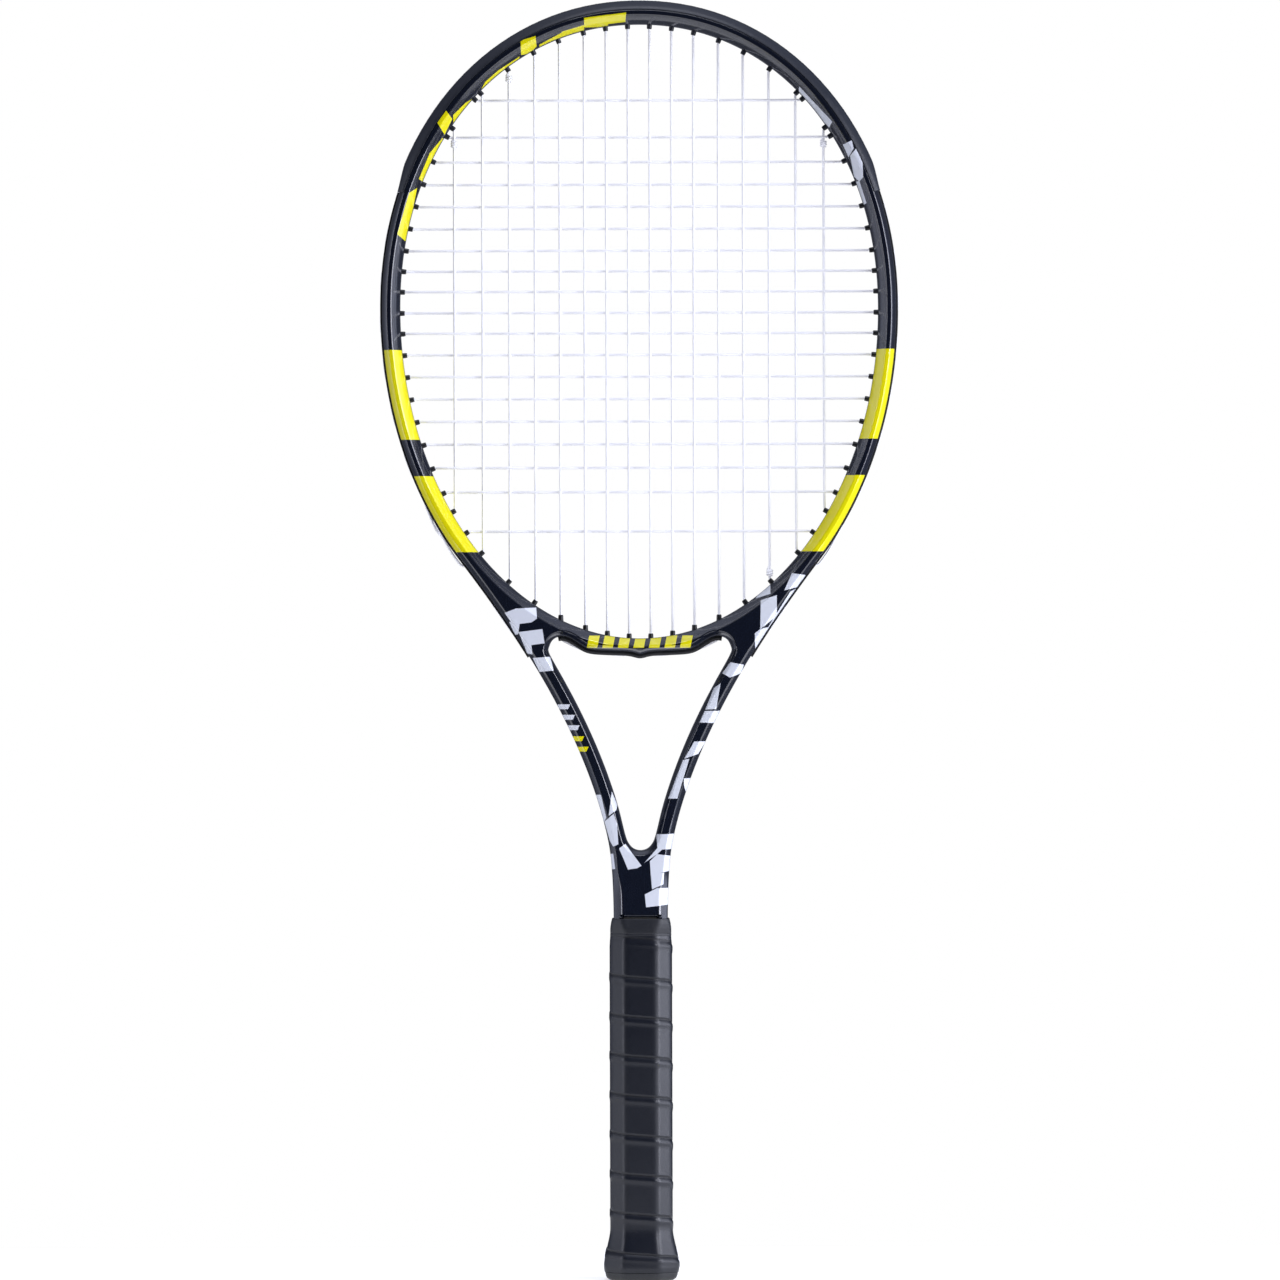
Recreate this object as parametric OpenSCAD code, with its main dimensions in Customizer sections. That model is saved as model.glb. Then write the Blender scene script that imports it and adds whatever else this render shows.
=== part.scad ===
// Strung tennis racket, standing on its butt: +Z from the butt to the tip of
// the head, the string bed in the X-Z plane, origin at the centre of the butt's end.
// All sizes in millimetres.

/* [Head] */
// Overall length, from the butt's end to the outside of the bumper guard
total_length = 685; // [660:1:740]
// Half of the head's inside width
head_half_width = 128; // [118:1:154]
// Rise of the head's inside edge above its widest line
head_rise_top = 152.4; // [130:0.1:185]
// Drop of the head's inside edge below its widest line
head_drop_bottom = 176.5; // [160:0.1:190]
// Fullness of the head's shoulders, 2 being a plain ellipse
shoulder_power = 2.08; // [2:0.01:2.3]

/* [Frame tube] */
// Width of the tube, measured in the plane of the strings
beam_w = 9.6; // [8:0.1:12]
// Depth of the tube, measured across the plane of the strings
beam_d = 24; // [20:0.1:29]
// Wall thickness of the tube
tube_wall = 1.6; // [1:0.1:2]
// Width of the flat front and back faces
face_w = 2.8; // [2:0.1:4]
// Height of the flat on the tube's inner side
inner_flat = 9.2; // [8:0.1:11]
// Height at which the inner side turns into the front bevel
inner_knee = 16; // [13:0.1:18]
// Height of the flat on the tube's outer side
outer_flat = 15.2; // [12:0.1:17]
// Depth of the channel that seats the grommet strips
channel_depth = 1.2; // [0.8:0.1:1.4]
// Width of the channel's floor
channel_w = 6.8; // [6:0.1:8]

/* [Throat and shafts] */
// Angle below the head's widest line at which the shafts leave the hoop
leave_angle = 46; // [38:4:50]
// Reach of the shaft curve where it leaves the hoop
shaft_reach_top = 58; // [45:1:70]
// Reach of the shaft curve where it joins the handle
shaft_reach_bottom = 82; // [62:1:97]
// Thickness of the handle's foam outside each leg
pallet_wall = 2.15; // [1.8:0.05:3]
// Depth of the legs in the handle
leg_d = 18.4; // [15:0.1:19]
// Height of the lower ends of the legs
leg_bottom = 14; // [12:1:40]
// Length of the foam plug in the foot of each leg
plug_length = 30; // [15:1:60]
// Depth of the bridge, across the plane of the strings
bridge_d = 22; // [18:0.1:24]
// Thickness of the bridge at its middle
bridge_t = 8.4; // [7:0.1:11]
// Thickness of the bridge's laminate around its foam core
bridge_wall = 1.8; // [1.2:0.1:2.4]
// Half-width of the bridge's level lower stretch
bridge_flat = 24; // [20:1:25]
// Wall of the moulded sleeve that wraps both legs
sleeve_wall = 0.8; // [0.6:0.1:1.5]
// How far the sleeve reaches up the shafts past the bottom of the V
sleeve_reach = 5; // [3:0.5:8]
// Height of the bottom of the throat's V
throat_v_z = 230; // [226:1:240]
// Radius of the throat's V
throat_v_r = 7; // [5:0.5:8]

/* [Handle] */
// Width of the bare handle, without its grip
pallet_w = 28.7; // [27.5:0.1:31]
// Depth of the bare handle, without its grip
pallet_d = 25.5; // [24:0.1:28]
// Width of the bare handle's front and back facets
pallet_face = 14.6; // [12:0.1:17]
// Width of the bare handle's side facets
pallet_side = 12.2; // [10:0.1:14]
// Height of the top of the bare handle
pallet_top = 190; // [170:1:200]
// Height of the underside of the bare handle, inside the butt cap
pallet_bottom = 8; // [6:0.5:12]
// Thickness of the grip
grip_t = 2; // [1.4:0.1:2.6]
// Thickness of the grip's skived end under the finishing tape
skive_t = 0.6; // [0.4:0.1:0.8]
// Length of the grip's skived end
skive_length = 4.5; // [3:0.5:6]
// Thickness of the finishing tape
tape_t = 0.3; // [0.2:0.05:0.4]
// Length of the rubber collar
collar_length = 9.5; // [8:0.5:12]
// Wall of the rubber collar
collar_wall = 1.1; // [0.8:0.1:1.4]
// How far the collar slides up the shaft
collar_travel = 12; // [8:1:16]

/* [Butt cap] */
// Height of the butt cap
cap_height = 30; // [26:1:34]
// How far the flare stands out from the bare handle under the grip
flare_proud = 3.5; // [2.5:0.1:4.5]
// How far the rim below the grip stands out from the bare handle
rim_proud = 5.2; // [4.5:0.1:6]
// Height of the rim below the grip
rim_height = 4.5; // [4:0.1:6]
// Thickness of the cap's skirt around the bare handle
skirt_t = 0.9; // [0.7:0.05:1.2]
// Thickness of the cap's floor
cap_floor = 2.4; // [2:0.1:3]
// Inset of the door's opening from the bare handle's outline
door_inset = 4.5; // [4:0.1:6]
// Thickness of the door
door_t = 1.6; // [1.2:0.1:2]
// How far the door is recessed behind the butt's end face
door_recess = 0.5; // [0.3:0.1:0.8]
// Length of the door's snap tabs
tab_length = 4; // [3:0.5:5]

/* [Grommets and strings] */
// Diameter of a string
string_d = 1.3; // [1.1:0.05:1.4]
// Bore of a grommet barrel
barrel_bore = 1.8; // [1.6:0.05:1.9]
// Outside diameter of a grommet barrel
barrel_d = 2.7; // [2.5:0.05:3]
// How far a barrel stands out from the hoop's inner side
stub_proud = 2.4; // [1.5:0.1:3.5]
// Thickness of a grommet strip's base
strip_t = 1; // [0.8:0.1:1.2]
// How far the strip's rims stand out from the tube
rim_out = 1.1; // [0.9:0.1:1.6]
// How far the bumper guard stands out from the tube
bumper_out = 3; // [2:0.1:4]
// Angle above the head's widest line at which the bumper guard ends
bumper_angle = 22; // [10:4:42]
// Distances of the main strings from the racket's axis
main_lines = [5.8, 17.5, 29.2, 42.4, 55.6, 69.3, 83.6, 98.6];
// Head half-width that those places are given for
main_lines_for = 128; // [118:1:154]
// Heights of the cross strings above the head's widest line
crosses = [111.4, 91.7, 78.4, 66.4, 54.6, 42.8, 31.1, 20.1, 9.2, -2.1,
    -13.1, -24.6, -36.3, -48.2, -60.2, -72.4, -85, -98, -119];
// Outside diameter of a tie-off knot
knot_d = 4; // [3:0.1:5]
// Length of a tie-off knot
knot_h = 3; // [2:0.1:4]
// Distance from a barrel's tip to the middle of a knot
knot_drop = 4; // [3.5:0.1:5]

/* [Clearances] */
// Gap between seated pieces
seat = 0.1; // [0.05:0.01:0.15]
// Gap between a moving piece and its neighbours
slide_gap = 0.3; // [0.2:0.05:0.4]
// Gap around a barrel in its hole
hole_gap = 0.15; // [0.1:0.05:0.3]

/* [Hidden] */
$fn = 24;

// The main strings spread with the head
mains = [for (x = main_lines) x * head_half_width / main_lines_for];
// Number of main strings on each side that end at the bridge
bridge_mains = 4;
// The head's widest line, and the half-axes of the tube's centre line
head_z = total_length - bumper_out - beam_w - head_rise_top;
axis_x = head_half_width + beam_w / 2;
axis_top = head_rise_top + beam_w / 2;
axis_bottom = head_drop_bottom + beam_w / 2;
tube_half = beam_w / 2;
floor_u = tube_half - channel_depth;
strip_floor_u = floor_u + seat + strip_t;
string_u = strip_floor_u + string_d / 2 + seat;
tip_u = -tube_half - stub_proud;
hole_d = barrel_d + 2 * hole_gap;
angle_step = 4;
shaft_steps = 12;
strip_end_t = 4 / shaft_steps;
weave = string_d + seat;
leg_offset = pallet_w / 2 - pallet_wall - tube_half;
sleeve_d = beam_d + 2 * sleeve_wall;
sleeve_top = throat_v_z + sleeve_reach;
sleeve_low = pallet_top + 3.5;
// The collar slides on the sleeve's octagonal foot, up to here
waist = sleeve_low + collar_travel + 1;
// Rise of the channel's walls, and of the chamfers beside the inner flat
chamfer = 0.8;
// Set-in of the bore's corners
bore_corner = tube_wall / 4;
// Eight times the bend radius that the turns outside the tube follow
turn_flatness = 960;

// ---------- the centre line of the hairpin, right-hand half ----------
// A station is [x, z, outward normal x, outward normal z, channel depth].

function unit(v) = v / norm(v);

// Station on the hoop at an angle above (or below) the widest line
function hoop_station(a) =
    let (p = a < 0 ? 2 : shoulder_power)
    let (b = a < 0 ? axis_bottom : axis_top)
    let (side = a < 0 ? -1 : 1)
    let (c = max(cos(a), 0))
    let (s = sin(abs(a)))
    let (n = unit([pow(c, 2 - 2 / p) / axis_x, side * pow(s, 2 - 2 / p) / b]))
    [axis_x * pow(c, 2 / p), head_z + side * b * pow(s, 2 / p), n[0], n[1], channel_depth];

shaft_top = hoop_station(-leave_angle);
shaft_bottom = [leg_offset, pallet_top];
guide_top = [shaft_top[0], shaft_top[1]] + shaft_reach_top * [shaft_top[3], -shaft_top[2]];
guide_bottom = shaft_bottom + [0, shaft_reach_bottom];

function bezier(a, b, c, d, t) =
    pow(1 - t, 3) * a + 3 * pow(1 - t, 2) * t * b + 3 * (1 - t) * t * t * c + t * t * t * d;
function bezier_slope(a, b, c, d, t) =
    pow(1 - t, 2) * (b - a) + 2 * (1 - t) * t * (c - b) + t * t * (d - c);

// Station on the shaft curve, t from 0 at the hoop to 1 in the handle
function shaft_station(t) =
    let (a = [shaft_top[0], shaft_top[1]])
    let (p = bezier(a, guide_top, guide_bottom, shaft_bottom, t))
    let (v = unit(bezier_slope(a, guide_top, guide_bottom, shaft_bottom, t)))
    [p[0], p[1], -v[1], v[0], t <= strip_end_t ? channel_depth : 0];

function reversed(list) = [for (i = [len(list) - 1 : -1 : 0]) list[i]];
function mirrored(stations) = [for (s = stations) [-s[0], s[1], -s[2], s[3], s[4]]];
function hoop_run(from, to) =
    [for (a = [from : from < to ? angle_step : -angle_step : to]) hoop_station(a)];
function shaft_run(first, last) =
    [for (i = [first : last]) shaft_station(i / shaft_steps)];
function whole(half) = concat(reversed(mirrored(half)), [for (i = [1 : len(half) - 1]) half[i]]);

// Share of the full depth that the tube keeps at a height, less in the handle
function depth_share(z) =
    let (k = min(max((z - pallet_top) / (sleeve_top - pallet_top), 0), 1))
    (leg_d + (beam_d - leg_d) * k) / beam_d;

// ---------- sections, as [u outwards in the string plane, v across it] ----------

function both_sides(half) = concat(half, [for (p = reversed(half)) [p[0], -p[1]]]);

function tube_outer(channel) = both_sides([
    [tube_half - channel, channel_w / 2],
    [tube_half, channel_w / 2 + chamfer],
    [tube_half, outer_flat / 2],
    [face_w / 2, beam_d / 2],
    [-face_w / 2, beam_d / 2],
    [-tube_half + chamfer, inner_knee / 2],
    [-tube_half, inner_flat / 2]]);

function tube_inner() = both_sides([
    [floor_u - tube_wall, channel_w / 2 - bore_corner],
    [floor_u - tube_wall, channel_w / 2 + 3 * bore_corner],
    [tube_half - tube_wall - bore_corner, outer_flat / 2 - 2 * bore_corner],
    [face_w / 4, beam_d / 2 - tube_wall],
    [-face_w / 4, beam_d / 2 - tube_wall],
    [-tube_half + tube_wall + 2 * bore_corner, inner_knee / 2 - 2 * bore_corner],
    [-tube_half + tube_wall, inner_flat / 2 - bore_corner]]);

plate_half = channel_w / 2 - 2 * seat;
// The groove that guards the strings, and how much wider its mouth is
groove_half = string_d / 2 + 4.5 * seat;
groove_flare = 0.4;

function strip_section() = both_sides([
    [strip_floor_u, groove_half],
    [tube_half + rim_out, groove_half + groove_flare],
    [tube_half + rim_out, plate_half],
    [floor_u + seat, plate_half]]);

// The bevel's slope, for the bumper's lips that lie on it
bevel = unit([tube_half - face_w / 2, outer_flat / 2 - beam_d / 2]);
lip_length = 1.6;
lip_t = 1.3;
lip_root = [tube_half + seat, outer_flat / 2 + seat / 2];
lip_end = lip_root - lip_length * bevel;
lip_out = lip_end + lip_t * [-bevel[1], bevel[0]];

function bumper_section() = both_sides([
    [strip_floor_u, groove_half],
    [tube_half + bumper_out, groove_half + 2 * groove_flare],
    [tube_half + bumper_out, outer_flat / 2 - lip_t],
    lip_out,
    lip_end,
    lip_root,
    [tube_half + seat, plate_half + chamfer],
    [floor_u + seat, plate_half]]);

// ---------- sweeps ----------

function at(s, u, v) = [s[0] + u * s[2], v, s[1] + u * s[3]];

// Rows of points, one row for each station, closed into a solid bar
module bar(rows) {
    n = len(rows[0]);
    m = len(rows);
    sides = [for (i = [0 : m - 2]) for (j = [0 : n - 1])
        let (k = (j + 1) % n)
        [i * n + j, i * n + k, (i + 1) * n + k, (i + 1) * n + j]];
    first = [for (j = [n - 1 : -1 : 0]) j];
    last = [for (j = [0 : n - 1]) (m - 1) * n + j];
    polyhedron([for (r = rows) for (p = r) p], concat(sides, [first, last]), 10);
}

// The same, with an inner row of as many points at each station: a hollow bar
module hollow_bar(outer, inner) {
    n = len(outer[0]);
    m = len(outer);
    base = n * m;
    sides = [for (i = [0 : m - 2]) for (j = [0 : n - 1])
        let (k = (j + 1) % n)
        [i * n + j, i * n + k, (i + 1) * n + k, (i + 1) * n + j]];
    walls = [for (f = sides) [base + f[3], base + f[2], base + f[1], base + f[0]]];
    first = [for (j = [0 : n - 1]) let (k = (j + 1) % n) [k, j, base + j, base + k]];
    e = (m - 1) * n;
    last = [for (j = [0 : n - 1]) let (k = (j + 1) % n)
        [e + j, e + k, base + e + k, base + e + j]];
    points = concat([for (r = outer) for (p = r) p], [for (r = inner) for (p = r) p]);
    polyhedron(points, concat(sides, walls, first, last), 10);
}

module swept(stations, section) {
    bar([for (s = stations) [for (p = section) at(s, p[0], p[1])]]);
}

// ---------- the hairpin ----------

hoop_half = hoop_run(90, -leave_angle);
leg_end = [shaft_bottom[0], leg_bottom, 1, 0, 0];
half_line = concat(hoop_half, shaft_run(1, shaft_steps), [leg_end]);
hairpin_line = whole(half_line);

function hairpin_rows(grow) = [for (s = hairpin_line)
    let (k = depth_share(s[1]))
    [for (p = tube_outer(s[4])) at(s, p[0] + sign(p[0]) * grow, p[1] * k + sign(p[1]) * grow)]];
function hairpin_bore_rows() = [for (s = hairpin_line)
    let (k = depth_share(s[1]))
    [for (p = tube_inner()) at(s, p[0], p[1] * k)]];

// ---------- grommet positions ----------
// A barrel is [tip x, tip z, outward x, outward z, tip to channel floor].

function tip_of(s) = [s[0] + tip_u * s[2], s[1] + tip_u * s[3]];

// Angle at which the barrels' tip line passes a given x (side: 1 above, -1 below)
function angle_for_x(x, side, low = 0, high = 90, n = 26) =
    n == 0 ? side * (low + high) / 2 :
    let (mid = (low + high) / 2)
    tip_of(hoop_station(side * mid))[0] > x
        ? angle_for_x(x, side, mid, high, n - 1)
        : angle_for_x(x, side, low, mid, n - 1);

// Angle at which the tip line passes a given height above the widest line
function angle_for_z(z, low = -90, high = 90, n = 26) =
    n == 0 ? (low + high) / 2 :
    let (mid = (low + high) / 2)
    tip_of(hoop_station(mid))[1] - head_z < z
        ? angle_for_z(z, mid, high, n - 1)
        : angle_for_z(z, low, mid, n - 1);

// Shaft parameter at which a ray from p along n crosses the shaft's centre line
function shaft_hit(p, n, low = 0, high = 0.6, k = 26) =
    k == 0 ? (low + high) / 2 :
    let (mid = (low + high) / 2)
    let (s = shaft_station(mid))
    let (d = [s[0], s[1]] - p)
    d[0] * n[1] - d[1] * n[0] < 0
        ? shaft_hit(p, n, mid, high, k - 1)
        : shaft_hit(p, n, low, mid, k - 1);

// A barrel at an angle: square to the hoop, reaching the channel wherever it is
function barrel_at(a) =
    let (s = hoop_station(a))
    let (t = tip_of(s))
    let (n = [s[2], s[3]])
    a > -leave_angle ? [t[0], t[1], n[0], n[1], floor_u - tip_u] :
    let (q = shaft_station(shaft_hit(t, n)))
    let (slant = n * [q[2], q[3]])
    [t[0], t[1], n[0], n[1], norm([q[0], q[1]] - t) + floor_u / slant];

top_mains = [for (x = mains) barrel_at(angle_for_x(x, 1))];
low_mains = [for (i = [bridge_mains : len(mains) - 1]) barrel_at(angle_for_x(mains[i], -1))];
cross_ends = [for (z = crosses) barrel_at(angle_for_z(z))];
bumper_z = hoop_station(bumper_angle)[1] - head_z;
bumper_crosses = [for (i = [0 : len(crosses) - 1]) if (crosses[i] > bumper_z) cross_ends[i]];
strip_crosses = [for (i = [0 : len(crosses) - 1]) if (crosses[i] <= bumper_z) cross_ends[i]];
bumper_barrels = concat(top_mains, bumper_crosses);
strip_barrels = concat(strip_crosses, low_mains);

// A rod of a given diameter along a barrel, from before its tip to past the floor
module along(b, d, before, past) {
    turn = atan2(b[2], b[3]);
    translate([b[0], 0, b[1]])
        rotate([0, turn, 0])
            translate([0, 0, -before])
                cylinder(h = b[4] + before + past, d = d);
}

module barrels(list) {
    for (b = list) along(b, barrel_d, 0, seat + strip_t / 2);
}

module barrel_bores(list) {
    for (b = list) along(b, barrel_bore, 1, strip_t + 3);
}

module barrel_holes(list) {
    for (b = list) along(b, hole_d, 1, 1);
}

module mirror_copy() {
    children();
    mirror([1, 0, 0]) children();
}

// ---------- the bridge ----------

function inner_edge_z(x, grow) =
    head_z - (head_drop_bottom + grow) * sqrt(1 - pow(x / (head_half_width + grow), 2));
bridge_low = inner_edge_z(0, 0) - bridge_t;
arch_x = mains[bridge_mains - 1];
arch_z = inner_edge_z(arch_x, 0) - bridge_t;
web_first = 1.6 / shaft_steps;
web_last = 4 / shaft_steps;
top_steps = 10;
// The arch's corner, and the widths and drops of the lower edge's steps
arch_r = 5;
step_w = 9;
flat_drop = 3.6;
crown_drop = 0.6;
flat_rise = 1.6;

// Leg's inner side at a shaft parameter, as [x, z], moved inwards by a gap
function leg_inside(t, gap) =
    let (s = shaft_station(t))
    [s[0] - (tube_half + gap) * s[2], s[1] - (tube_half + gap) * s[3]];

// The bridge's lower edge from the middle to the crown of the throat's arch
function bridge_under(drop) = [
    [0, bridge_low - drop],
    [bridge_flat, bridge_low + flat_rise - drop],
    [bridge_flat + step_w, arch_z - flat_drop - drop],
    [arch_x - arch_r + 1, arch_z - crown_drop - drop],
    [arch_x + 1, arch_z - drop]];

// Half of the bridge's outline, its edges moved inwards by an inset
function bridge_half(inset) =
    let (web_x = leg_inside(web_first, seat + inset)[0])
    concat(
    [for (i = [0 : top_steps - 1]) let (x = web_x * i / top_steps) [x, inner_edge_z(x, inset)]],
    [for (i = [0 : 4]) leg_inside(web_first + (web_last - web_first) * i / 4, seat + inset)],
    [[arch_x + 1.3 * arch_r - inset, arch_z - arch_r + inset],
        [arch_x + 0.9 * arch_r - inset, arch_z - 0.3 * arch_r + inset]],
    reversed(bridge_under(-inset)));

function outline_both(half) =
    let (inner = [for (i = [1 : len(half) - 2]) half[i]])
    concat(half, [for (p = reversed(inner)) [-p[0], p[1]]]);

module upright_plate(outline, depth) {
    rotate([90, 0, 0])
        linear_extrude(height = depth, center = true)
            polygon(outline);
}

bridge_holes = [for (i = [0 : bridge_mains - 1])
    let (s = hoop_station(angle_for_x(mains[i], -1)))
    let (z = tip_of(s)[1])
    [mains[i], z, 0, -1, z - bridge_under_z(mains[i])]];

// Height of the bridge's lower edge at a distance from the axis
function bridge_under_z(x) =
    let (e = bridge_under(0))
    [for (i = [0 : len(e) - 2]) if (x >= e[i][0] && x < e[i + 1][0])
        e[i][1] + (e[i + 1][1] - e[i][1]) * (x - e[i][0]) / (e[i + 1][0] - e[i][0])][0];

module bridge_cuts() {
    mirror_copy() {
        barrel_holes(bridge_holes);
        barrel_holes(low_mains);
    }
}

// ---------- the handle's octagons ----------

facet_share = 0.83;

function octagon(grow) =
    let (w = pallet_w / 2 + grow)
    let (d = pallet_d / 2 + grow)
    let (f = (pallet_face + facet_share * grow) / 2)
    let (s = (pallet_side + facet_share * grow) / 2)
    [[f, -d], [w, -s], [w, s], [f, d], [-f, d], [-w, s], [-w, -s], [-f, -d]];

module prism(grow, low, high) {
    translate([0, 0, low])
        linear_extrude(height = high - low)
            polygon(octagon(grow));
}

// An octagonal solid through [height, growth] steps
module octagon_loft(steps) {
    bar([for (s = steps) [for (p = reversed(octagon(s[1]))) [p[0], p[1], s[0]]]]);
}

// Roundness of the butt's edge, and the heights between which the cap flares
edge_r = 3;
flare_low = 10;
flare_top = cap_height - 5;
// Length above the flare over which the grip settles on the bare handle
settle = 10;
grip_top = pallet_top - 6;
collar_low = grip_top + 2 * seat;
collar_high = collar_low + collar_length;
// Height of the collar's straight band, and the wall of its tapered lip
collar_band = 3;
collar_lip = 0.8;
tape_grow = skive_t + tape_t;

// Prisms of a tube section where the legs stand in the handle, grown by a gap
module leg_prisms(section, grow, low, high) {
    k = leg_d / beam_d;
    outline = [for (p = section)
        [leg_offset + p[0] + sign(p[0]) * grow, p[1] * k + sign(p[1]) * grow]];
    mirror_copy()
        translate([0, 0, low])
            linear_extrude(height = high - low)
                polygon(outline);
}

// The door's snap tabs
tab_inset = 1.6;
tab_t = 1.2;
tab_w = 6;

staple_w = 10;
staple_t = 0.5;
staple_wire = 1;
staple_z = cap_height - 3;
// Depth of a staple, which stops short of the legs
staple_leg = (pallet_d - leg_d) / 2 - 4 * seat;

// One staple on the front of the cap's skirt, its crown sunk flush
module staple(gap) {
    crown = pallet_d / 2 - seat;
    low = staple_z - staple_wire / 2 - gap;
    high = staple_wire + 2 * gap;
    translate([-staple_w / 2 - gap, -crown - gap, low])
        cube([staple_w + 2 * gap, staple_t + 2 * gap, high]);
    for (side = [-1, 1])
        translate([side * (staple_w - staple_t) / 2 - staple_t / 2 - gap, -crown - gap, low])
            cube([staple_t + 2 * gap, staple_leg + 2 * gap, high]);
}

module front_and_back() {
    children();
    mirror([0, 1, 0]) children();
}

module pallet_body() {
    difference() {
        union() {
            prism(0, cap_height + seat, pallet_top);
            prism(-skirt_t - seat, pallet_bottom, cap_height + seat);
        }
        leg_prisms(tube_outer(0), seat, pallet_bottom - 1, pallet_top + 1);
        front_and_back() staple(seat / 2);
    }
}

module pallet_half(side) {
    big = pallet_w * 2;
    intersection() {
        pallet_body();
        translate([-big / 2, side > 0 ? seat / 2 : -big - seat / 2, 0])
            cube([big, big, pallet_top + 1]);
    }
}

// ---------- string routes ----------

// Where a string comes out of a barrel on the outside of the channel
function barrel_exit(b) =
    let (r = b[4] + (string_u - floor_u) / slant_of(b))
    [b[0] + r * b[2], 0, b[1] + r * b[3]];
// How square a barrel stands to the channel it ends in
function slant_of(b) =
    b[4] <= floor_u - tip_u + 0.001 ? 1 :
    let (q = shaft_station(shaft_hit([b[0], b[1]], [b[2], b[3]])))
    [b[2], b[3]] * [q[2], q[3]];
// Where a string bends into a barrel, just inside its tip
function barrel_mouth(b) = [b[0] - 0.6 * b[2], 0, b[1] - 0.6 * b[3]];
function other_side(p) = [-p[0], p[1], p[2]];

// A tube along a route of points, mitred at its bends
module cord(route, d) {
    n = 8;
    m = len(route);
    tangent = [for (i = [0 : m - 1])
        unit((i < m - 1 ? unit(route[i + 1] - route[i]) : [0, 0, 0])
            + (i > 0 ? unit(route[i] - route[i - 1]) : [0, 0, 0]))];
    bar([for (i = [0 : m - 1])
        let (before = unit(i > 0 ? route[i] - route[i - 1] : route[1] - route[0]))
        let (t = tangent[i])
        let (across = unit(cross([0, 1, 0], t)))
        let (up = cross(t, across))
        let (stretch = 1 / max(before * t, 0.6))
        [for (j = [0 : n - 1])
            let (a = -360 * j / n)
            route[i] + d / 2 * (cos(a) * stretch * across + sin(a) * up)]]);
}

// Up and down the mains of one side: in at the top, out and round at each end
last_main = len(mains) - 1;
function top_pair(i) = [i == last_main ? barrel_end(top_mains[i]) : barrel_exit(top_mains[i]),
    barrel_mouth(top_mains[i])];
function low_barrel(i) = i < bridge_mains ? bridge_holes[i] : low_mains[i - bridge_mains];
function low_exit(i) = i < bridge_mains
    ? [mains[i], 0, bridge_under_z(mains[i]) - strip_t - 2 * seat - string_d / 2]
    : barrel_exit(low_barrel(i));
function low_pair(i) = [barrel_mouth(low_barrel(i)), low_exit(i)];

// Where a string's end stops, inside a barrel
function barrel_end(b) = [b[0] + (b[4] - seat) * b[2], 0, b[1] + (b[4] - seat) * b[3]];

// Where a turn passes over another string's exit, and a point half-way between two exits
pass_lift = 1.25 * string_d;
swap_lift = 0.95 * string_d;
swap_aside = 0.85 * string_d;
function over(b) = barrel_exit(b) + pass_lift * way_out(b);
function swap_point(b, c, aside) = (over(b) + over(c)) / 2
    - (pass_lift - swap_lift) * way_out(b) + [0, aside, 0];

// The highest point of a turn outside the tube, between two exits
function turn_top(p, q, out) = (p + q) / 2 + pow(norm(q - p), 2) / turn_flatness * unit(out);
function way_out(b) = [b[2], 0, b[3]];
last_cross = len(crosses) - 1;
low_cross = cross_ends[last_cross];
function main_turn(i) = i >= last_main ? [] : i == last_main - 1
    ? [over(low_cross), swap_point(low_cross, low_barrel(last_main), -swap_aside)]
    : i % 2 == 0
    ? [turn_top(low_exit(i), low_exit(i + 1), way_out(low_barrel(i)) + way_out(low_barrel(i + 1)))]
    : [turn_top(barrel_exit(top_mains[i]), barrel_exit(top_mains[i + 1]),
        way_out(top_mains[i]) + way_out(top_mains[i + 1]))];

main_half = [for (i = [0 : last_main]) each concat(
    i % 2 == 0 ? concat(top_pair(i), low_pair(i))
        : concat(reversed(low_pair(i)), reversed(top_pair(i))), main_turn(i))];
first_exit = main_half[0];
main_middle = turn_top(other_side(first_exit), first_exit, [0, 0, 1]);
main_route = concat(reversed([for (p = main_half) other_side(p)]), [main_middle], main_half);

// A cross string from left to right, over and under the mains it meets
function all_mains() = concat(reversed([for (x = mains) -x]), mains);
function cross_row(k) =
    let (b = cross_ends[k])
    let (m = all_mains())
    let (z = barrel_mouth(b)[2])
    let (x = barrel_mouth(b)[0])
    concat([other_side(k == 0 ? barrel_end(b) : barrel_exit(b)), other_side(barrel_mouth(b))],
        [for (i = [0 : len(m) - 1]) if (abs(m[i]) < x - 1) [m[i], (i + k) % 2 == 0 ? weave : -weave, z]],
        [barrel_mouth(b), k == last_cross ? barrel_end(b) : barrel_exit(b)]);
function cross_turn(k) = k >= last_cross ? [] : k == last_cross - 1
    ? [other_side(over(low_barrel(last_main))),
        other_side(swap_point(low_cross, low_barrel(last_main), swap_aside))] :
    let (top = turn_top(barrel_exit(cross_ends[k]), barrel_exit(cross_ends[k + 1]),
        way_out(cross_ends[k]) + way_out(cross_ends[k + 1])))
    [k % 2 == 0 ? top : other_side(top)];
cross_route = [for (k = [0 : last_cross]) each
    concat(k % 2 == 0 ? cross_row(k) : reversed(cross_row(k)), cross_turn(k))];

// ---------- the pieces ----------

module frame_hairpin() color("#12162a") {
    difference() {
        hollow_bar(hairpin_rows(0), hairpin_bore_rows());
        mirror_copy() {
            barrel_holes(top_mains);
            barrel_holes(cross_ends);
            barrel_holes(low_mains);
        }
    }
}

module bridge() color("#161b30") {
    difference() {
        upright_plate(outline_both(bridge_half(0)), bridge_d);
        upright_plate(outline_both(bridge_half(bridge_wall)), bridge_d - 2 * bridge_wall);
        bridge_cuts();
    }
}

module bridge_core() color("#e8e4d8") {
    difference() {
        upright_plate(outline_both(bridge_half(bridge_wall + seat)), bridge_d - 2 * bridge_wall - 2 * seat);
        bridge_cuts();
    }
}

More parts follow.
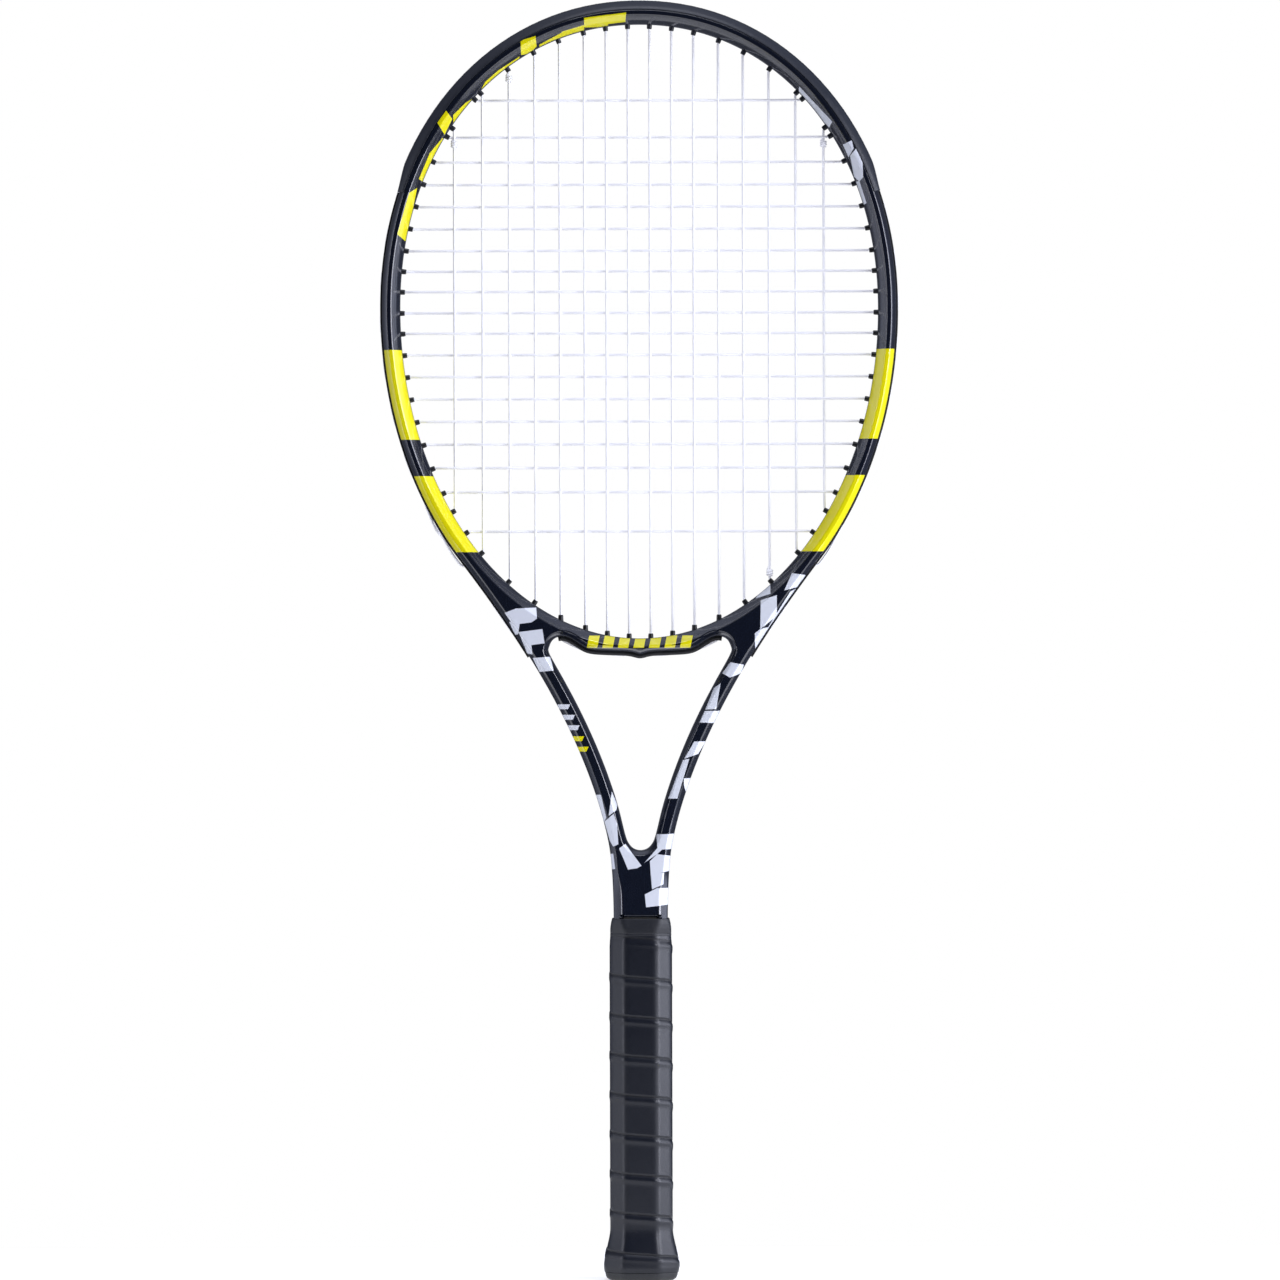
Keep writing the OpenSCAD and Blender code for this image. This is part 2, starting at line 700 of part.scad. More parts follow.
// The sleeve's side at a shaft parameter: a wall outside the leg, or level with the handle
function sleeve_side(t) =
    let (s = shaft_station(t))
    [max(pallet_w / 2, s[0] + (tube_half + sleeve_wall) * s[2]),
        s[1] + (tube_half + sleeve_wall) * s[3]];

// Shaft parameter at which the sleeve's side passes a height
function sleeve_t(z, low = 0, high = 1, n = 26) =
    n == 0 ? (low + high) / 2 :
    let (mid = (low + high) / 2)
    sleeve_side(mid)[1] > z ? sleeve_t(z, mid, high, n - 1) : sleeve_t(z, low, mid, n - 1);

function sleeve_half() =
    let (first = sleeve_t(waist + 2))
    let (last = sleeve_t(sleeve_top))
    concat([[0, waist], [pallet_w / 2, waist]],
        [for (i = [0 : 4]) sleeve_side(first + (last - first) * i / 4)],
        [for (a = [70, 45, 20, 0])
            [throat_v_r * sin(a), throat_v_z + sleeve_reach * (1 - cos(a)) / (1 - cos(70))]]);

module throat_sleeve() color("#1c2138") {
    difference() {
        union() {
            prism(0, sleeve_low, waist + seat);
            upright_plate(outline_both(sleeve_half()), sleeve_d);
        }
        bar(hairpin_rows(seat));
    }
}

module leg_plugs() color("#d8d2b8")
    leg_prisms(tube_inner(), -seat, leg_bottom, leg_bottom + plug_length);

module pallet_front() color("#cfc6a0") pallet_half(-1);

module pallet_back() color("#c6bd98") pallet_half(1);

module butt_cap() color("#101010") {
    difference() {
        union() {
            octagon_loft([[0, rim_proud - edge_r], [0.3 * edge_r, rim_proud - 0.5 * edge_r],
                [0.9 * edge_r, rim_proud - 0.1 * edge_r], [rim_height, rim_proud]]);
            octagon_loft([[rim_height - 1, flare_proud], [flare_low, flare_proud], [flare_top, 0],
                [cap_height, 0]]);
        }
        prism(-skirt_t, cap_floor, cap_height + 1);
        prism(-door_inset, -1, cap_floor + 1);
        front_and_back() staple(seat / 2);
    }
}

module butt_cap_door() color("#1c1c1c") {
    prism(-door_inset - slide_gap, door_recess, door_recess + door_t);
    for (side = [-1, 1])
        translate([side * (pallet_w / 2 - door_inset - slide_gap - tab_inset) - tab_t / 2, -tab_w / 2,
                door_recess + door_t / 2])
            cube([tab_t, tab_w, tab_length]);
}

module cap_staples() color("#b8bcc2") front_and_back() staple(0);

module grip_wrap() color("#14161f") {
    difference() {
        union() {
            octagon_loft([[rim_height + seat, rim_proud], [flare_low, flare_proud + grip_t],
                [flare_top, grip_t], [flare_top + settle, grip_t]]);
            prism(grip_t, flare_top + settle - 1, grip_top);
            prism(skive_t, grip_top - 1, grip_top + skive_length);
        }
        octagon_loft([[rim_height - 1, flare_proud + seat], [flare_low, flare_proud + seat],
            [flare_top, seat], [flare_top + settle, seat]]);
        prism(seat, flare_top + settle - 1, pallet_top + 1);
    }
}

module finishing_tape() color("#0c0c0e") {
    difference() {
        prism(tape_grow + seat, collar_low, grip_top + skive_length);
        prism(skive_t + seat, collar_low - 1, pallet_top + 1);
    }
}

module rubber_collar() color("#0a0a0c") {
    inner = tape_grow + seat + slide_gap;
    lip = slide_gap;
    difference() {
        octagon_loft([[collar_low, inner + collar_wall], [collar_low + collar_band, inner + collar_wall],
            [collar_high, lip + collar_lip]]);
        prism(inner, collar_low - 1, pallet_top + 0.5);
        prism(lip, collar_low - 1, collar_high + 1);
    }
}

module guard(line, section, list) {
    difference() {
        union() {
            swept(line, section);
            barrels(list);
        }
        barrel_bores(list);
    }
}

module bumper_guard() color("#24262e") {
    line = whole(hoop_run(90, bumper_angle));
    difference() {
        union() {
            swept(line, bumper_section());
            mirror_copy() barrels(bumper_barrels);
        }
        mirror_copy() barrel_bores(bumper_barrels);
    }
}

module side_strip() {
    line = concat(hoop_run(bumper_angle, -leave_angle), shaft_run(1, 4));
    guard(line, strip_section(), strip_barrels);
}

module grommet_strip_right() color("#0d0d10") side_strip();

module grommet_strip_left() color("#0d0d10") mirror([1, 0, 0]) side_strip();

module grommet_strip_bridge() color("#0d0d10") {
    under = bridge_under(seat);
    below = bridge_under(seat + strip_t);
    difference() {
        union() {
            upright_plate(outline_both(concat(below, reversed(under))), 2 * plate_half);
            mirror_copy()
                for (b = bridge_holes) along(b, barrel_d, 0, seat + strip_t / 2);
        }
        mirror_copy() barrel_bores(bridge_holes);
    }
}

module main_strings() color("#f2f2f5") cord(main_route, string_d);

module cross_strings() color("#ececf2") cord(cross_route, string_d);

// A main string's distance from the axis at a height
function main_x(i, z) =
    let (top = barrel_mouth(top_mains[i]))
    let (low = barrel_mouth(low_barrel(i)))
    low[0] + (top[0] - low[0]) * (z - low[2]) / (top[2] - low[2]);

// A knot around a main string on one side: a ring whose middle is at a height
module knot(side, i, z) {
    translate([side * main_x(i, z), 0, z - knot_h / 2])
        difference() {
            cylinder(h = knot_h, d = knot_d);
            translate([0, 0, -1]) cylinder(h = knot_h + 2, d = string_d + 2 * seat);
        }
}

module string_knots() color("#f2f2f5") {
    tie = last_main - 2;
    for (side = [-1, 1]) knot(side, last_main, top_mains[last_main][1] - 2 * knot_drop);
    knot(-1, tie, top_mains[tie][1] - knot_drop);
    knot(1, tie, low_barrel(tie)[1] + knot_drop);
}

frame_hairpin();
bridge();
bridge_core();
throat_sleeve();
leg_plugs();
pallet_front();
pallet_back();
butt_cap();
butt_cap_door();
cap_staples();
grip_wrap();
finishing_tape();
rubber_collar();
bumper_guard();
grommet_strip_left();
grommet_strip_right();
grommet_strip_bridge();
main_strings();
cross_strings();
string_knots();
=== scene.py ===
import logging
import math
from dataclasses import dataclass, field
from enum import Enum

import bpy
import numpy as np
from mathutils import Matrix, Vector
from mathutils.geometry import delaunay_2d_cdt


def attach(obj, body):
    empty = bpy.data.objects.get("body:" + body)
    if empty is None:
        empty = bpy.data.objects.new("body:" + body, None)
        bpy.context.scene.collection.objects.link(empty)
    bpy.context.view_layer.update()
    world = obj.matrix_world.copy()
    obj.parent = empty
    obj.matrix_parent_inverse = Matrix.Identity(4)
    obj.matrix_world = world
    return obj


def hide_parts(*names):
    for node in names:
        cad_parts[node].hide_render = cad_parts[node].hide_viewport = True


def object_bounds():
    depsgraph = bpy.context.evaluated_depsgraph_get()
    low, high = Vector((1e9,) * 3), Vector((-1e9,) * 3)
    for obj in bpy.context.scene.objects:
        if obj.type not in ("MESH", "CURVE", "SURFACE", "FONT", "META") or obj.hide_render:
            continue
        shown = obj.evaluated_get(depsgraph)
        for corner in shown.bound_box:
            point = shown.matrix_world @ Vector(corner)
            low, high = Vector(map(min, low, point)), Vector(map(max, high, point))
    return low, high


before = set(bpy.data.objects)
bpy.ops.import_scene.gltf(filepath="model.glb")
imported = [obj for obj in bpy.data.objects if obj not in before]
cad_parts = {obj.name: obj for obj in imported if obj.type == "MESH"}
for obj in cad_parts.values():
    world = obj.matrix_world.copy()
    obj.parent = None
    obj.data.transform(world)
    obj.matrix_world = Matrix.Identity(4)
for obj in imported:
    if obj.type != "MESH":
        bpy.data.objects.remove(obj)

"""Looks of a strung tennis racket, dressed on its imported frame.

Shapes are worked out in millimetres in the frame's axes: X across the head, Y through the
string bed, Z from the butt to the tip. Meshes are written in metres.
"""

Array = np.ndarray
MM = 0.001
LOG = logging.getLogger("racket")
CAD_LOW, CAD_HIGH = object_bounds()


class Body(Enum):
    """The moving bodies of the racket."""

    RACKET = "racket"
    DOOR = "butt_cap_door"
    COLLAR = "rubber_collar"


# ---------- surfaces ----------


@dataclass
class Shell:
    """A mesh held as arrays: points in millimetres, four- and three-sided faces, and their UVs."""

    points: Array
    quads: Array = field(default_factory=lambda: np.zeros((0, 4), int))
    tris: Array = field(default_factory=lambda: np.zeros((0, 3), int))
    quad_uv: Array = field(default_factory=lambda: np.zeros((0, 4, 2)))
    tri_uv: Array = field(default_factory=lambda: np.zeros((0, 3, 2)))

    def __add__(self, other: "Shell") -> "Shell":
        """Both shells in one mesh."""
        n = len(self.points)
        return Shell(np.vstack([self.points, other.points]), np.vstack([self.quads, other.quads + n]),
                     np.vstack([self.tris, other.tris + n]), np.vstack([self.quad_uv, other.quad_uv]),
                     np.vstack([self.tri_uv, other.tri_uv]))

    def mirrored(self) -> "Shell":
        """The shell reflected in the plane X = 0, its faces still outwards."""
        return Shell(self.points * [-1, 1, 1], self.quads[:, ::-1], self.tris[:, ::-1],
                     self.quad_uv[:, ::-1], self.tri_uv[:, ::-1])


def joined(shells: list[Shell]) -> Shell:
    """Several shells in one mesh.

    Args:
        shells: the shells, at least one.
    Returns:
        One shell.
    """
    whole = shells[0]
    for shell in shells[1:]:
        whole = whole + shell
    return whole


def grid_shell(grid: Array, closed: bool = False, caps: bool = True) -> Shell:
    """A surface on a grid whose columns close into rings.

    Neighbouring rings are joined by four-sided faces. Each open end is closed by a fan of
    triangles to the ring's mean point. U is the share of the way round, V the way along in mm.

    Args:
        grid: points of shape (rings, points in a ring, 3).
        closed: whether the last ring joins the first.
        caps: whether the two ends of an open grid are closed.
    Returns:
        The shell.
    """
    rings, cols = grid.shape[:2]
    middle = grid.mean(1)
    along = np.concatenate([[0], np.cumsum(np.linalg.norm(np.diff(middle, axis=0), axis=1))])
    along = along + np.linspace(0, 1e-6, rings)
    i = np.arange(rings if closed else rings - 1)[:, None]
    j = np.arange(cols)[None, :]
    i2, j2 = (i + 1) % rings, (j + 1) % cols
    quads = np.stack([i * cols + j, i * cols + j2, i2 * cols + j2, i2 * cols + j], -1).reshape(-1, 4)
    v = np.broadcast_to(along[i], (len(i), cols))
    v2 = np.broadcast_to(along[i2], (len(i), cols))
    u = np.broadcast_to(j / cols, v.shape)
    u2 = u + 1 / cols
    quad_uv = np.stack([np.stack(p, -1) for p in ((u, v), (u2, v), (u2, v2), (u, v2))], -2).reshape(-1, 4, 2)
    points = grid.reshape(-1, 3)
    tris, tri_uv = np.zeros((0, 3), int), np.zeros((0, 3, 2))
    if caps and not closed:
        points = np.vstack([points, middle[:1], middle[-1:]])
        n = rings * cols
        j, j2 = np.arange(cols), (np.arange(cols) + 1) % cols
        last = (rings - 1) * cols
        tris = np.vstack([np.stack([j2, j, np.full(cols, n)], 1),
                          np.stack([last + j, last + j2, np.full(cols, n + 1)], 1)])
        tri_uv = np.zeros((len(tris), 3, 2))
    return Shell(points, quads, tris, quad_uv, tri_uv)


def outward(shell: Shell) -> Shell:
    """The shell with its faces turned outwards, judged by the sign of its volume.

    Args:
        shell: a closed shell.
    Returns:
        The same shell, reversed if its signed volume was negative.
    """
    p = shell.points
    fans = [shell.quads[:, [0, 1, 2]], shell.quads[:, [0, 2, 3]], shell.tris]
    faces = np.vstack(fans)
    volume = np.einsum("ij,ij->i", p[faces[:, 0]], np.cross(p[faces[:, 1]], p[faces[:, 2]])).sum()
    if volume >= 0:
        return shell
    return Shell(p, shell.quads[:, ::-1], shell.tris[:, ::-1], shell.quad_uv[:, ::-1], shell.tri_uv[:, ::-1])


def make_object(name: str, shell: Shell, finish: "bpy.types.Material", body: Body,
                stands_for: tuple[str, ...]) -> "bpy.types.Object":
    """Writes a shell into a Blender mesh that rides on a body.

    Args:
        name: the piece's name.
        shell: its surface in millimetres.
        finish: its material.
        body: the body it moves with.
        stands_for: CAD nodes that it replaces.
    Returns:
        The object.
    """
    mesh = bpy.data.meshes.new(name)
    quads, tris = shell.quads, shell.tris
    corners = np.concatenate([quads.ravel(), tris.ravel()]).astype(np.int32)
    totals = np.concatenate([np.full(len(quads), 4), np.full(len(tris), 3)]).astype(np.int32)
    starts = (np.cumsum(totals) - totals).astype(np.int32)
    mesh.vertices.add(len(shell.points))
    mesh.vertices.foreach_set("co", (shell.points * MM).astype(np.float32).ravel())
    mesh.loops.add(len(corners))
    mesh.loops.foreach_set("vertex_index", corners)
    mesh.polygons.add(len(totals))
    mesh.polygons.foreach_set("loop_start", starts)
    mesh.polygons.foreach_set("use_smooth", np.ones(len(totals), bool))
    mesh.update(calc_edges=True)
    layer = mesh.uv_layers.new(name="UVMap")
    uv = np.concatenate([shell.quad_uv.reshape(-1, 2), shell.tri_uv.reshape(-1, 2)])
    layer.data.foreach_set("uv", uv.astype(np.float32).ravel())
    mesh.validate()
    mesh.materials.append(finish)
    piece = bpy.data.objects.new(name, mesh)
    bpy.context.scene.collection.objects.link(piece)
    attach(piece, body.value)
    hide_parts(*stands_for)
    LOG.info("%s: %d faces on %s", name, len(totals), body.value)
    return piece


def smooth_step(value: Array, low: float, high: float) -> Array:
    """0 below low, 1 above high, and a cubic ease between them.

    Args:
        value: the numbers to ease.
        low: where the step starts.
        high: where it ends.
    Returns:
        The eased numbers.
    """
    t = np.clip((value - low) / (high - low), 0, 1)
    return t * t * (3 - 2 * t)


def rounded(corners: Array, radius: Array | float, steps: int = 4, closed: bool = True) -> Array:
    """A polygon whose corners are quarter-like curves.

    Each corner becomes a quadratic curve that starts and ends one radius away along its two
    sides, and no more than 0.45 of a side, with the corner as its control point.

    Args:
        corners: points of shape (..., n, k); leading axes are separate polygons.
        radius: one distance, or one for each corner.
        steps: intervals in each curve.
        closed: whether the last point joins the first; an open line keeps its ends.
    Returns:
        Points of shape (..., m, k).
    """
    radius = np.broadcast_to(np.asarray(radius, float), corners.shape[-2:-1])[:, None]
    before, after = np.roll(corners, 1, -2), np.roll(corners, -1, -2)
    back, ahead = before - corners, after - corners
    back_len = np.linalg.norm(back, axis=-1, keepdims=True) + 1e-9
    ahead_len = np.linalg.norm(ahead, axis=-1, keepdims=True) + 1e-9
    start = corners + back * np.minimum(radius / back_len, 0.45)
    end = corners + ahead * np.minimum(radius / ahead_len, 0.45)
    t = np.linspace(0, 1, steps + 1)[:, None]
    curve = ((1 - t) ** 2 * start[..., None, :] + 2 * t * (1 - t) * corners[..., None, :]
             + t * t * end[..., None, :])
    if closed:
        return curve.reshape(*corners.shape[:-2], -1, corners.shape[-1])
    inner = curve[..., 1:-1, :, :].reshape(*corners.shape[:-2], -1, corners.shape[-1])
    return np.concatenate([corners[..., :1, :], inner, corners[..., -1:, :]], -2)


def resampled(line: Array, spacing: float, closed: bool = False) -> Array:
    """The line with its points an even distance apart.

    Args:
        line: points of shape (n, k).
        spacing: the wanted distance.
        closed: whether the last point joins the first.
    Returns:
        The new points.
    """
    if closed:
        line = np.vstack([line, line[:1]])
    way = np.concatenate([[0], np.cumsum(np.linalg.norm(np.diff(line, axis=0), axis=1))])
    count = max(int(round(way[-1] / spacing)), 3)
    marks = np.linspace(0, way[-1], count + 1)
    if closed:
        marks = marks[:-1]
    return np.stack([np.interp(marks, way, line[:, k]) for k in range(line.shape[1])], 1)


def softened(line: Array, spread: float, spacing: float, closed: bool = False) -> Array:
    """The line after a weighted mean of its neighbours, whose weights fall off as a bell curve.

    Args:
        line: evenly spaced points of shape (n, k).
        spread: the bell curve's width.
        spacing: the distance between points.
        closed: whether the last point joins the first.
    Returns:
        Points of the same shape.
    """
    reach = int(math.ceil(3 * spread / spacing))
    weights = np.exp(-0.5 * (np.arange(-reach, reach + 1) * spacing / spread) ** 2)
    weights /= weights.sum()
    mode = "wrap" if closed else "edge"
    padded = np.pad(line, ((reach, reach), (0, 0)), mode=mode)
    if not closed:
        padded[:reach] = 2 * line[0] - line[1:reach + 1][::-1]
        padded[-reach:] = 2 * line[-1] - line[-reach - 1:-1][::-1]
    return np.stack([np.convolve(padded[:, k], weights, "valid") for k in range(line.shape[1])], 1)


def spline(points: Array, spacing: float) -> Array:
    """A smooth open curve through a few points: a Catmull-Rom cubic, resampled evenly.

    Args:
        points: the points that the curve passes, of shape (n, 2).
        spacing: the distance between the new points.
    Returns:
        The curve.
    """
    ends = np.vstack([2 * points[0] - points[1], points, 2 * points[-1] - points[-2]])
    a, b, c, d = ends[:-3, None], ends[1:-2, None], ends[2:-1, None], ends[3:, None]
    t = np.linspace(0, 1, 24, endpoint=False)[None, :, None]
    curve = 0.5 * (2 * b + (c - a) * t + (2 * a - 5 * b + 4 * c - d) * t ** 2
                   + (3 * b - a - 3 * c + d) * t ** 3)
    return resampled(np.vstack([curve.reshape(-1, 2), points[-1:]]), spacing)


def tube(route: Array, radius: Array | float, sides: int) -> Shell:
    """A round bar along a route: rings square to the route's direction, one around each point.

    Args:
        route: points of shape (n, 3), never heading along Y.
        radius: one radius, or one for each point.
        sides: points in a ring.
    Returns:
        The shell.
    """
    heading = np.gradient(route, axis=0)
    heading /= np.linalg.norm(heading, axis=1, keepdims=True)
    across = np.cross([0.0, 1.0, 0.0], heading)
    across /= np.linalg.norm(across, axis=1, keepdims=True)
    up = np.cross(heading, across)
    a = np.linspace(0, 2 * np.pi, sides, endpoint=False)[None, :, None]
    r = np.broadcast_to(np.asarray(radius, float), (len(route),))[:, None, None]
    return grid_shell(route[:, None] + r * (np.cos(a) * across[:, None] + np.sin(a) * up[:, None]))


# ---------- the racket's own lines ----------


@dataclass
class Stations:
    """Places along a line in the string plane, each with the direction that points off the tube."""

    x: Array
    z: Array
    out_x: Array
    out_z: Array

    def followed(self, other: "Stations") -> "Stations":
        """These stations and then the others."""
        return Stations(np.concatenate([self.x, other.x]), np.concatenate([self.z, other.z]),
                        np.concatenate([self.out_x, other.out_x]), np.concatenate([self.out_z, other.out_z]))

    def mirrored(self) -> "Stations":
        """The stations reflected in the plane X = 0, in the opposite order."""
        return Stations(-self.x[::-1], self.z[::-1], -self.out_x[::-1], self.out_z[::-1])

    def picked(self, keep: Array) -> "Stations":
        """Some of the stations, by a mask or by their numbers."""
        return Stations(self.x[keep], self.z[keep], self.out_x[keep], self.out_z[keep])

    def at(self, u: Array | float) -> Array:
        """The points a distance u off the line, as (n, 2)."""
        return np.stack([self.x + u * self.out_x, self.z + u * self.out_z], 1)

    def swept(self, section: Array) -> Shell:
        """A bar: a section of (u, v) points carried along the line, v across the string plane.

        Args:
            section: points of shape (m, 2), or (stations, m, 2) where it changes on the way.
        Returns:
            The shell, its ends closed.
        """
        section = np.broadcast_to(section, (len(self.x),) + section.shape[-2:])
        u, v = section[..., 0], section[..., 1]
        grid = np.stack([self.x[:, None] + u * self.out_x[:, None], v,
                         self.z[:, None] + u * self.out_z[:, None]], -1)
        return outward(grid_shell(grid))


@dataclass
class HeadLine:
    """The centre line of the hoop and of the shafts that leave it, on the right-hand side."""

    length: float = (CAD_HIGH.z - CAD_LOW.z) / MM
    half_width: float = 128.0
    rise: float = 152.4
    drop: float = 176.5
    fullness: float = 2.08
    beam: float = 9.6
    bumper_out: float = 3.0
    leave: float = -46.0
    shaft_foot: tuple[float, float] = (7.4, 190.0)
    reach_top: float = 58.0
    reach_bottom: float = 82.0

    @property
    def widest_z(self) -> float:
        """Height of the head's widest line."""
        return self.length - self.bumper_out - self.beam - self.rise

    def hoop(self, angle: Array) -> Stations:
        """Stations on the hoop: a superellipse above the widest line, an ellipse below it.

        Args:
            angle: degrees above the widest line, 90 at the tip.
        Returns:
            The stations.
        """
        angle = np.radians(np.asarray(angle, float))
        power = np.where(angle < 0, 2.0, self.fullness)
        half = self.beam / 2
        reach = np.where(angle < 0, self.drop, self.rise) + half
        wide = self.half_width + half
        side = np.where(angle < 0, -1.0, 1.0)
        c, s = np.clip(np.cos(angle), 0, None), np.abs(np.sin(angle))
        nx, nz = c ** (2 - 2 / power) / wide, side * s ** (2 - 2 / power) / reach
        size = np.hypot(nx, nz)
        return Stations(wide * c ** (2 / power), self.widest_z + side * reach * s ** (2 / power),
                        nx / size, nz / size)

    def shaft(self, t: Array) -> Stations:
        """Stations on the shaft: a cubic curve from the hoop down to the handle.

        Args:
            t: 0 where it leaves the hoop, 1 at the handle.
        Returns:
            The stations.
        """
        t = np.asarray(t, float)[:, None]
        top = self.hoop(np.array([self.leave]))
        a = np.array([top.x[0], top.z[0]])
        b = a + self.reach_top * np.array([top.out_z[0], -top.out_x[0]])
        d = np.array(self.shaft_foot)
        c = d + [0, self.reach_bottom]
        p = (1 - t) ** 3 * a + 3 * (1 - t) ** 2 * t * b + 3 * (1 - t) * t * t * c + t ** 3 * d
        slope = (1 - t) ** 2 * (b - a) + 2 * (1 - t) * t * (c - b) + t * t * (d - c)
        slope /= np.linalg.norm(slope, axis=1, keepdims=True)
        return Stations(p[:, 0], p[:, 1], -slope[:, 1], slope[:, 0])

    def side(self, top_angle: float, shaft_end: float, spacing: float = 1.0) -> Stations:
        """The hoop from an angle down to the shaft, and on along the shaft.

        Args:
            top_angle: where the line starts, in degrees.
            shaft_end: how far it goes down the shaft, from 0 to 1.
            spacing: the distance between stations.
        Returns:
            The stations, from the top.
        """
        turn = np.arange(top_angle, self.leave, -spacing / 2.5)
        way = np.arange(0, shaft_end, spacing / 230) if shaft_end > 0 else np.zeros(1)
        a, b = self.hoop(turn), self.shaft(way)
        return a.followed(b)


@dataclass
class StringPlan:
    """Where the strings pass through the hoop, and the barrels that line those holes."""

    line: HeadLine
    mains: tuple[float, ...] = (5.8, 17.5, 29.2, 42.4, 55.6, 69.3, 83.6, 98.6)
    crosses: tuple[float, ...] = (111.4, 91.7, 78.4, 66.4, 54.6, 42.8, 31.1, 20.1, 9.2, -2.1, -13.1,
                                  -24.6, -36.3, -48.2, -60.2, -72.4, -85.0, -98.0, -119.0)
    bridge_mains: int = 4
    tip: float = -7.2
    floor: float = 3.6
    string_u: float = 5.5
    string_r: float = 0.65

    def angles_for_x(self, x: Array, side: int) -> Array:
        """Hoop angles whose barrel tips lie at given distances from the axis.

        Args:
            x: the distances.
            side: 1 for the top of the head, -1 for its bottom.
        Returns:
            Angles in degrees.
        """
        turn = np.linspace(0, 90, 2000)
        tips = self.line.hoop(side * turn).at(self.tip)[:, 0]
        return side * np.interp(x, tips[::-1], turn[::-1])

    def angles_for_z(self, z: Array) -> Array:
        """Hoop angles whose barrel tips lie at given heights above the widest line."""
        turn = np.linspace(-89, 89, 4000)
        return np.interp(z, self.line.hoop(turn).at(self.tip)[:, 1] - self.line.widest_z, turn)

    def top(self) -> Array:
        """Angles of the main strings' barrels at the top."""
        return self.angles_for_x(np.array(self.mains), 1)

    def low(self) -> Array:
        """Angles of the main strings' barrels at the bottom, bridge first."""
        return self.angles_for_x(np.array(self.mains), -1)

    def ends(self) -> Array:
        """Angles of the cross strings' barrels."""
        return self.angles_for_z(np.array(self.crosses))

    def shaft_exit(self, angle: float, u: float) -> Array:
        """The point where a barrel's line crosses the shaft line a distance u outside the shaft.

        Args:
            angle: the barrel's hoop angle.
            u: distance off the shaft's centre line.
        Returns:
            One point (x, z).
        """
        s = self.line.hoop(np.array([angle]))
        rail = self.line.shaft(np.linspace(0, 0.6, 1500)).at(u)
        start = s.at(self.tip)[0]
        sine = (rail[:, 0] - start[0]) * s.out_z[0] - (rail[:, 1] - start[1]) * s.out_x[0]
        i = int(np.argmin(np.abs(sine)))
        return rail[i]


# ---------- shader graphs ----------


class Value:
    """A number in a shader graph. Arithmetic on it adds Math nodes."""

    def __init__(self, graph: "Graph", socket: "bpy.types.NodeSocket") -> None:
        """Wraps an output socket of a graph."""
        self.graph = graph
        self.socket = socket

    def math(self, operation: str, *others: "Value | float") -> "Value":
        """A Math node on this value and others."""
        node = self.graph.add("ShaderNodeMath", {"operation": operation},
                              dict(enumerate([self, *others])))
        return Value(self.graph, node.outputs[0])

    def __add__(self, other: "Value | float") -> "Value":
        """Sum."""
        return self.math("ADD", other)

    __radd__ = __add__

    def __mul__(self, other: "Value | float") -> "Value":
        """Product."""
        return self.math("MULTIPLY", other)

    __rmul__ = __mul__

    def __sub__(self, other: "Value | float") -> "Value":
        """Difference."""
        return self.math("SUBTRACT", other)

    def __rsub__(self, other: float) -> "Value":
        """A number less this value."""
        return self.math("MULTIPLY_ADD", -1.0, other)

    def __truediv__(self, other: "Value | float") -> "Value":
        """Quotient."""
        return self.math("DIVIDE", other)

    def plus(self, factor: float, other: "Value | float") -> "Value":
        """This value times a factor, plus another, in one node."""
        return self.math("MULTIPLY_ADD", factor, other)

    def lesser(self, other: "Value | float") -> "Value":
        """The smaller of two values."""
        return self.math("MINIMUM", other)

    def greater(self, other: "Value | float") -> "Value":
        """The larger of two values."""
        return self.math("MAXIMUM", other)

    def size(self) -> "Value":
        """The value without its sign."""
        return self.math("ABSOLUTE")

    def ramp(self, low: float, high: float, first: float = 0.0, last: float = 1.0) -> "Value":
        """A smooth step from first to last between two thresholds."""
        node = self.graph.add("ShaderNodeMapRange", {"interpolation_type": "SMOOTHSTEP"},
                              {"Value": self, "From Min": low, "From Max": high,
                               "To Min": first, "To Max": last})
        return Value(self.graph, node.outputs[0])


Colour = tuple[float, float, float]


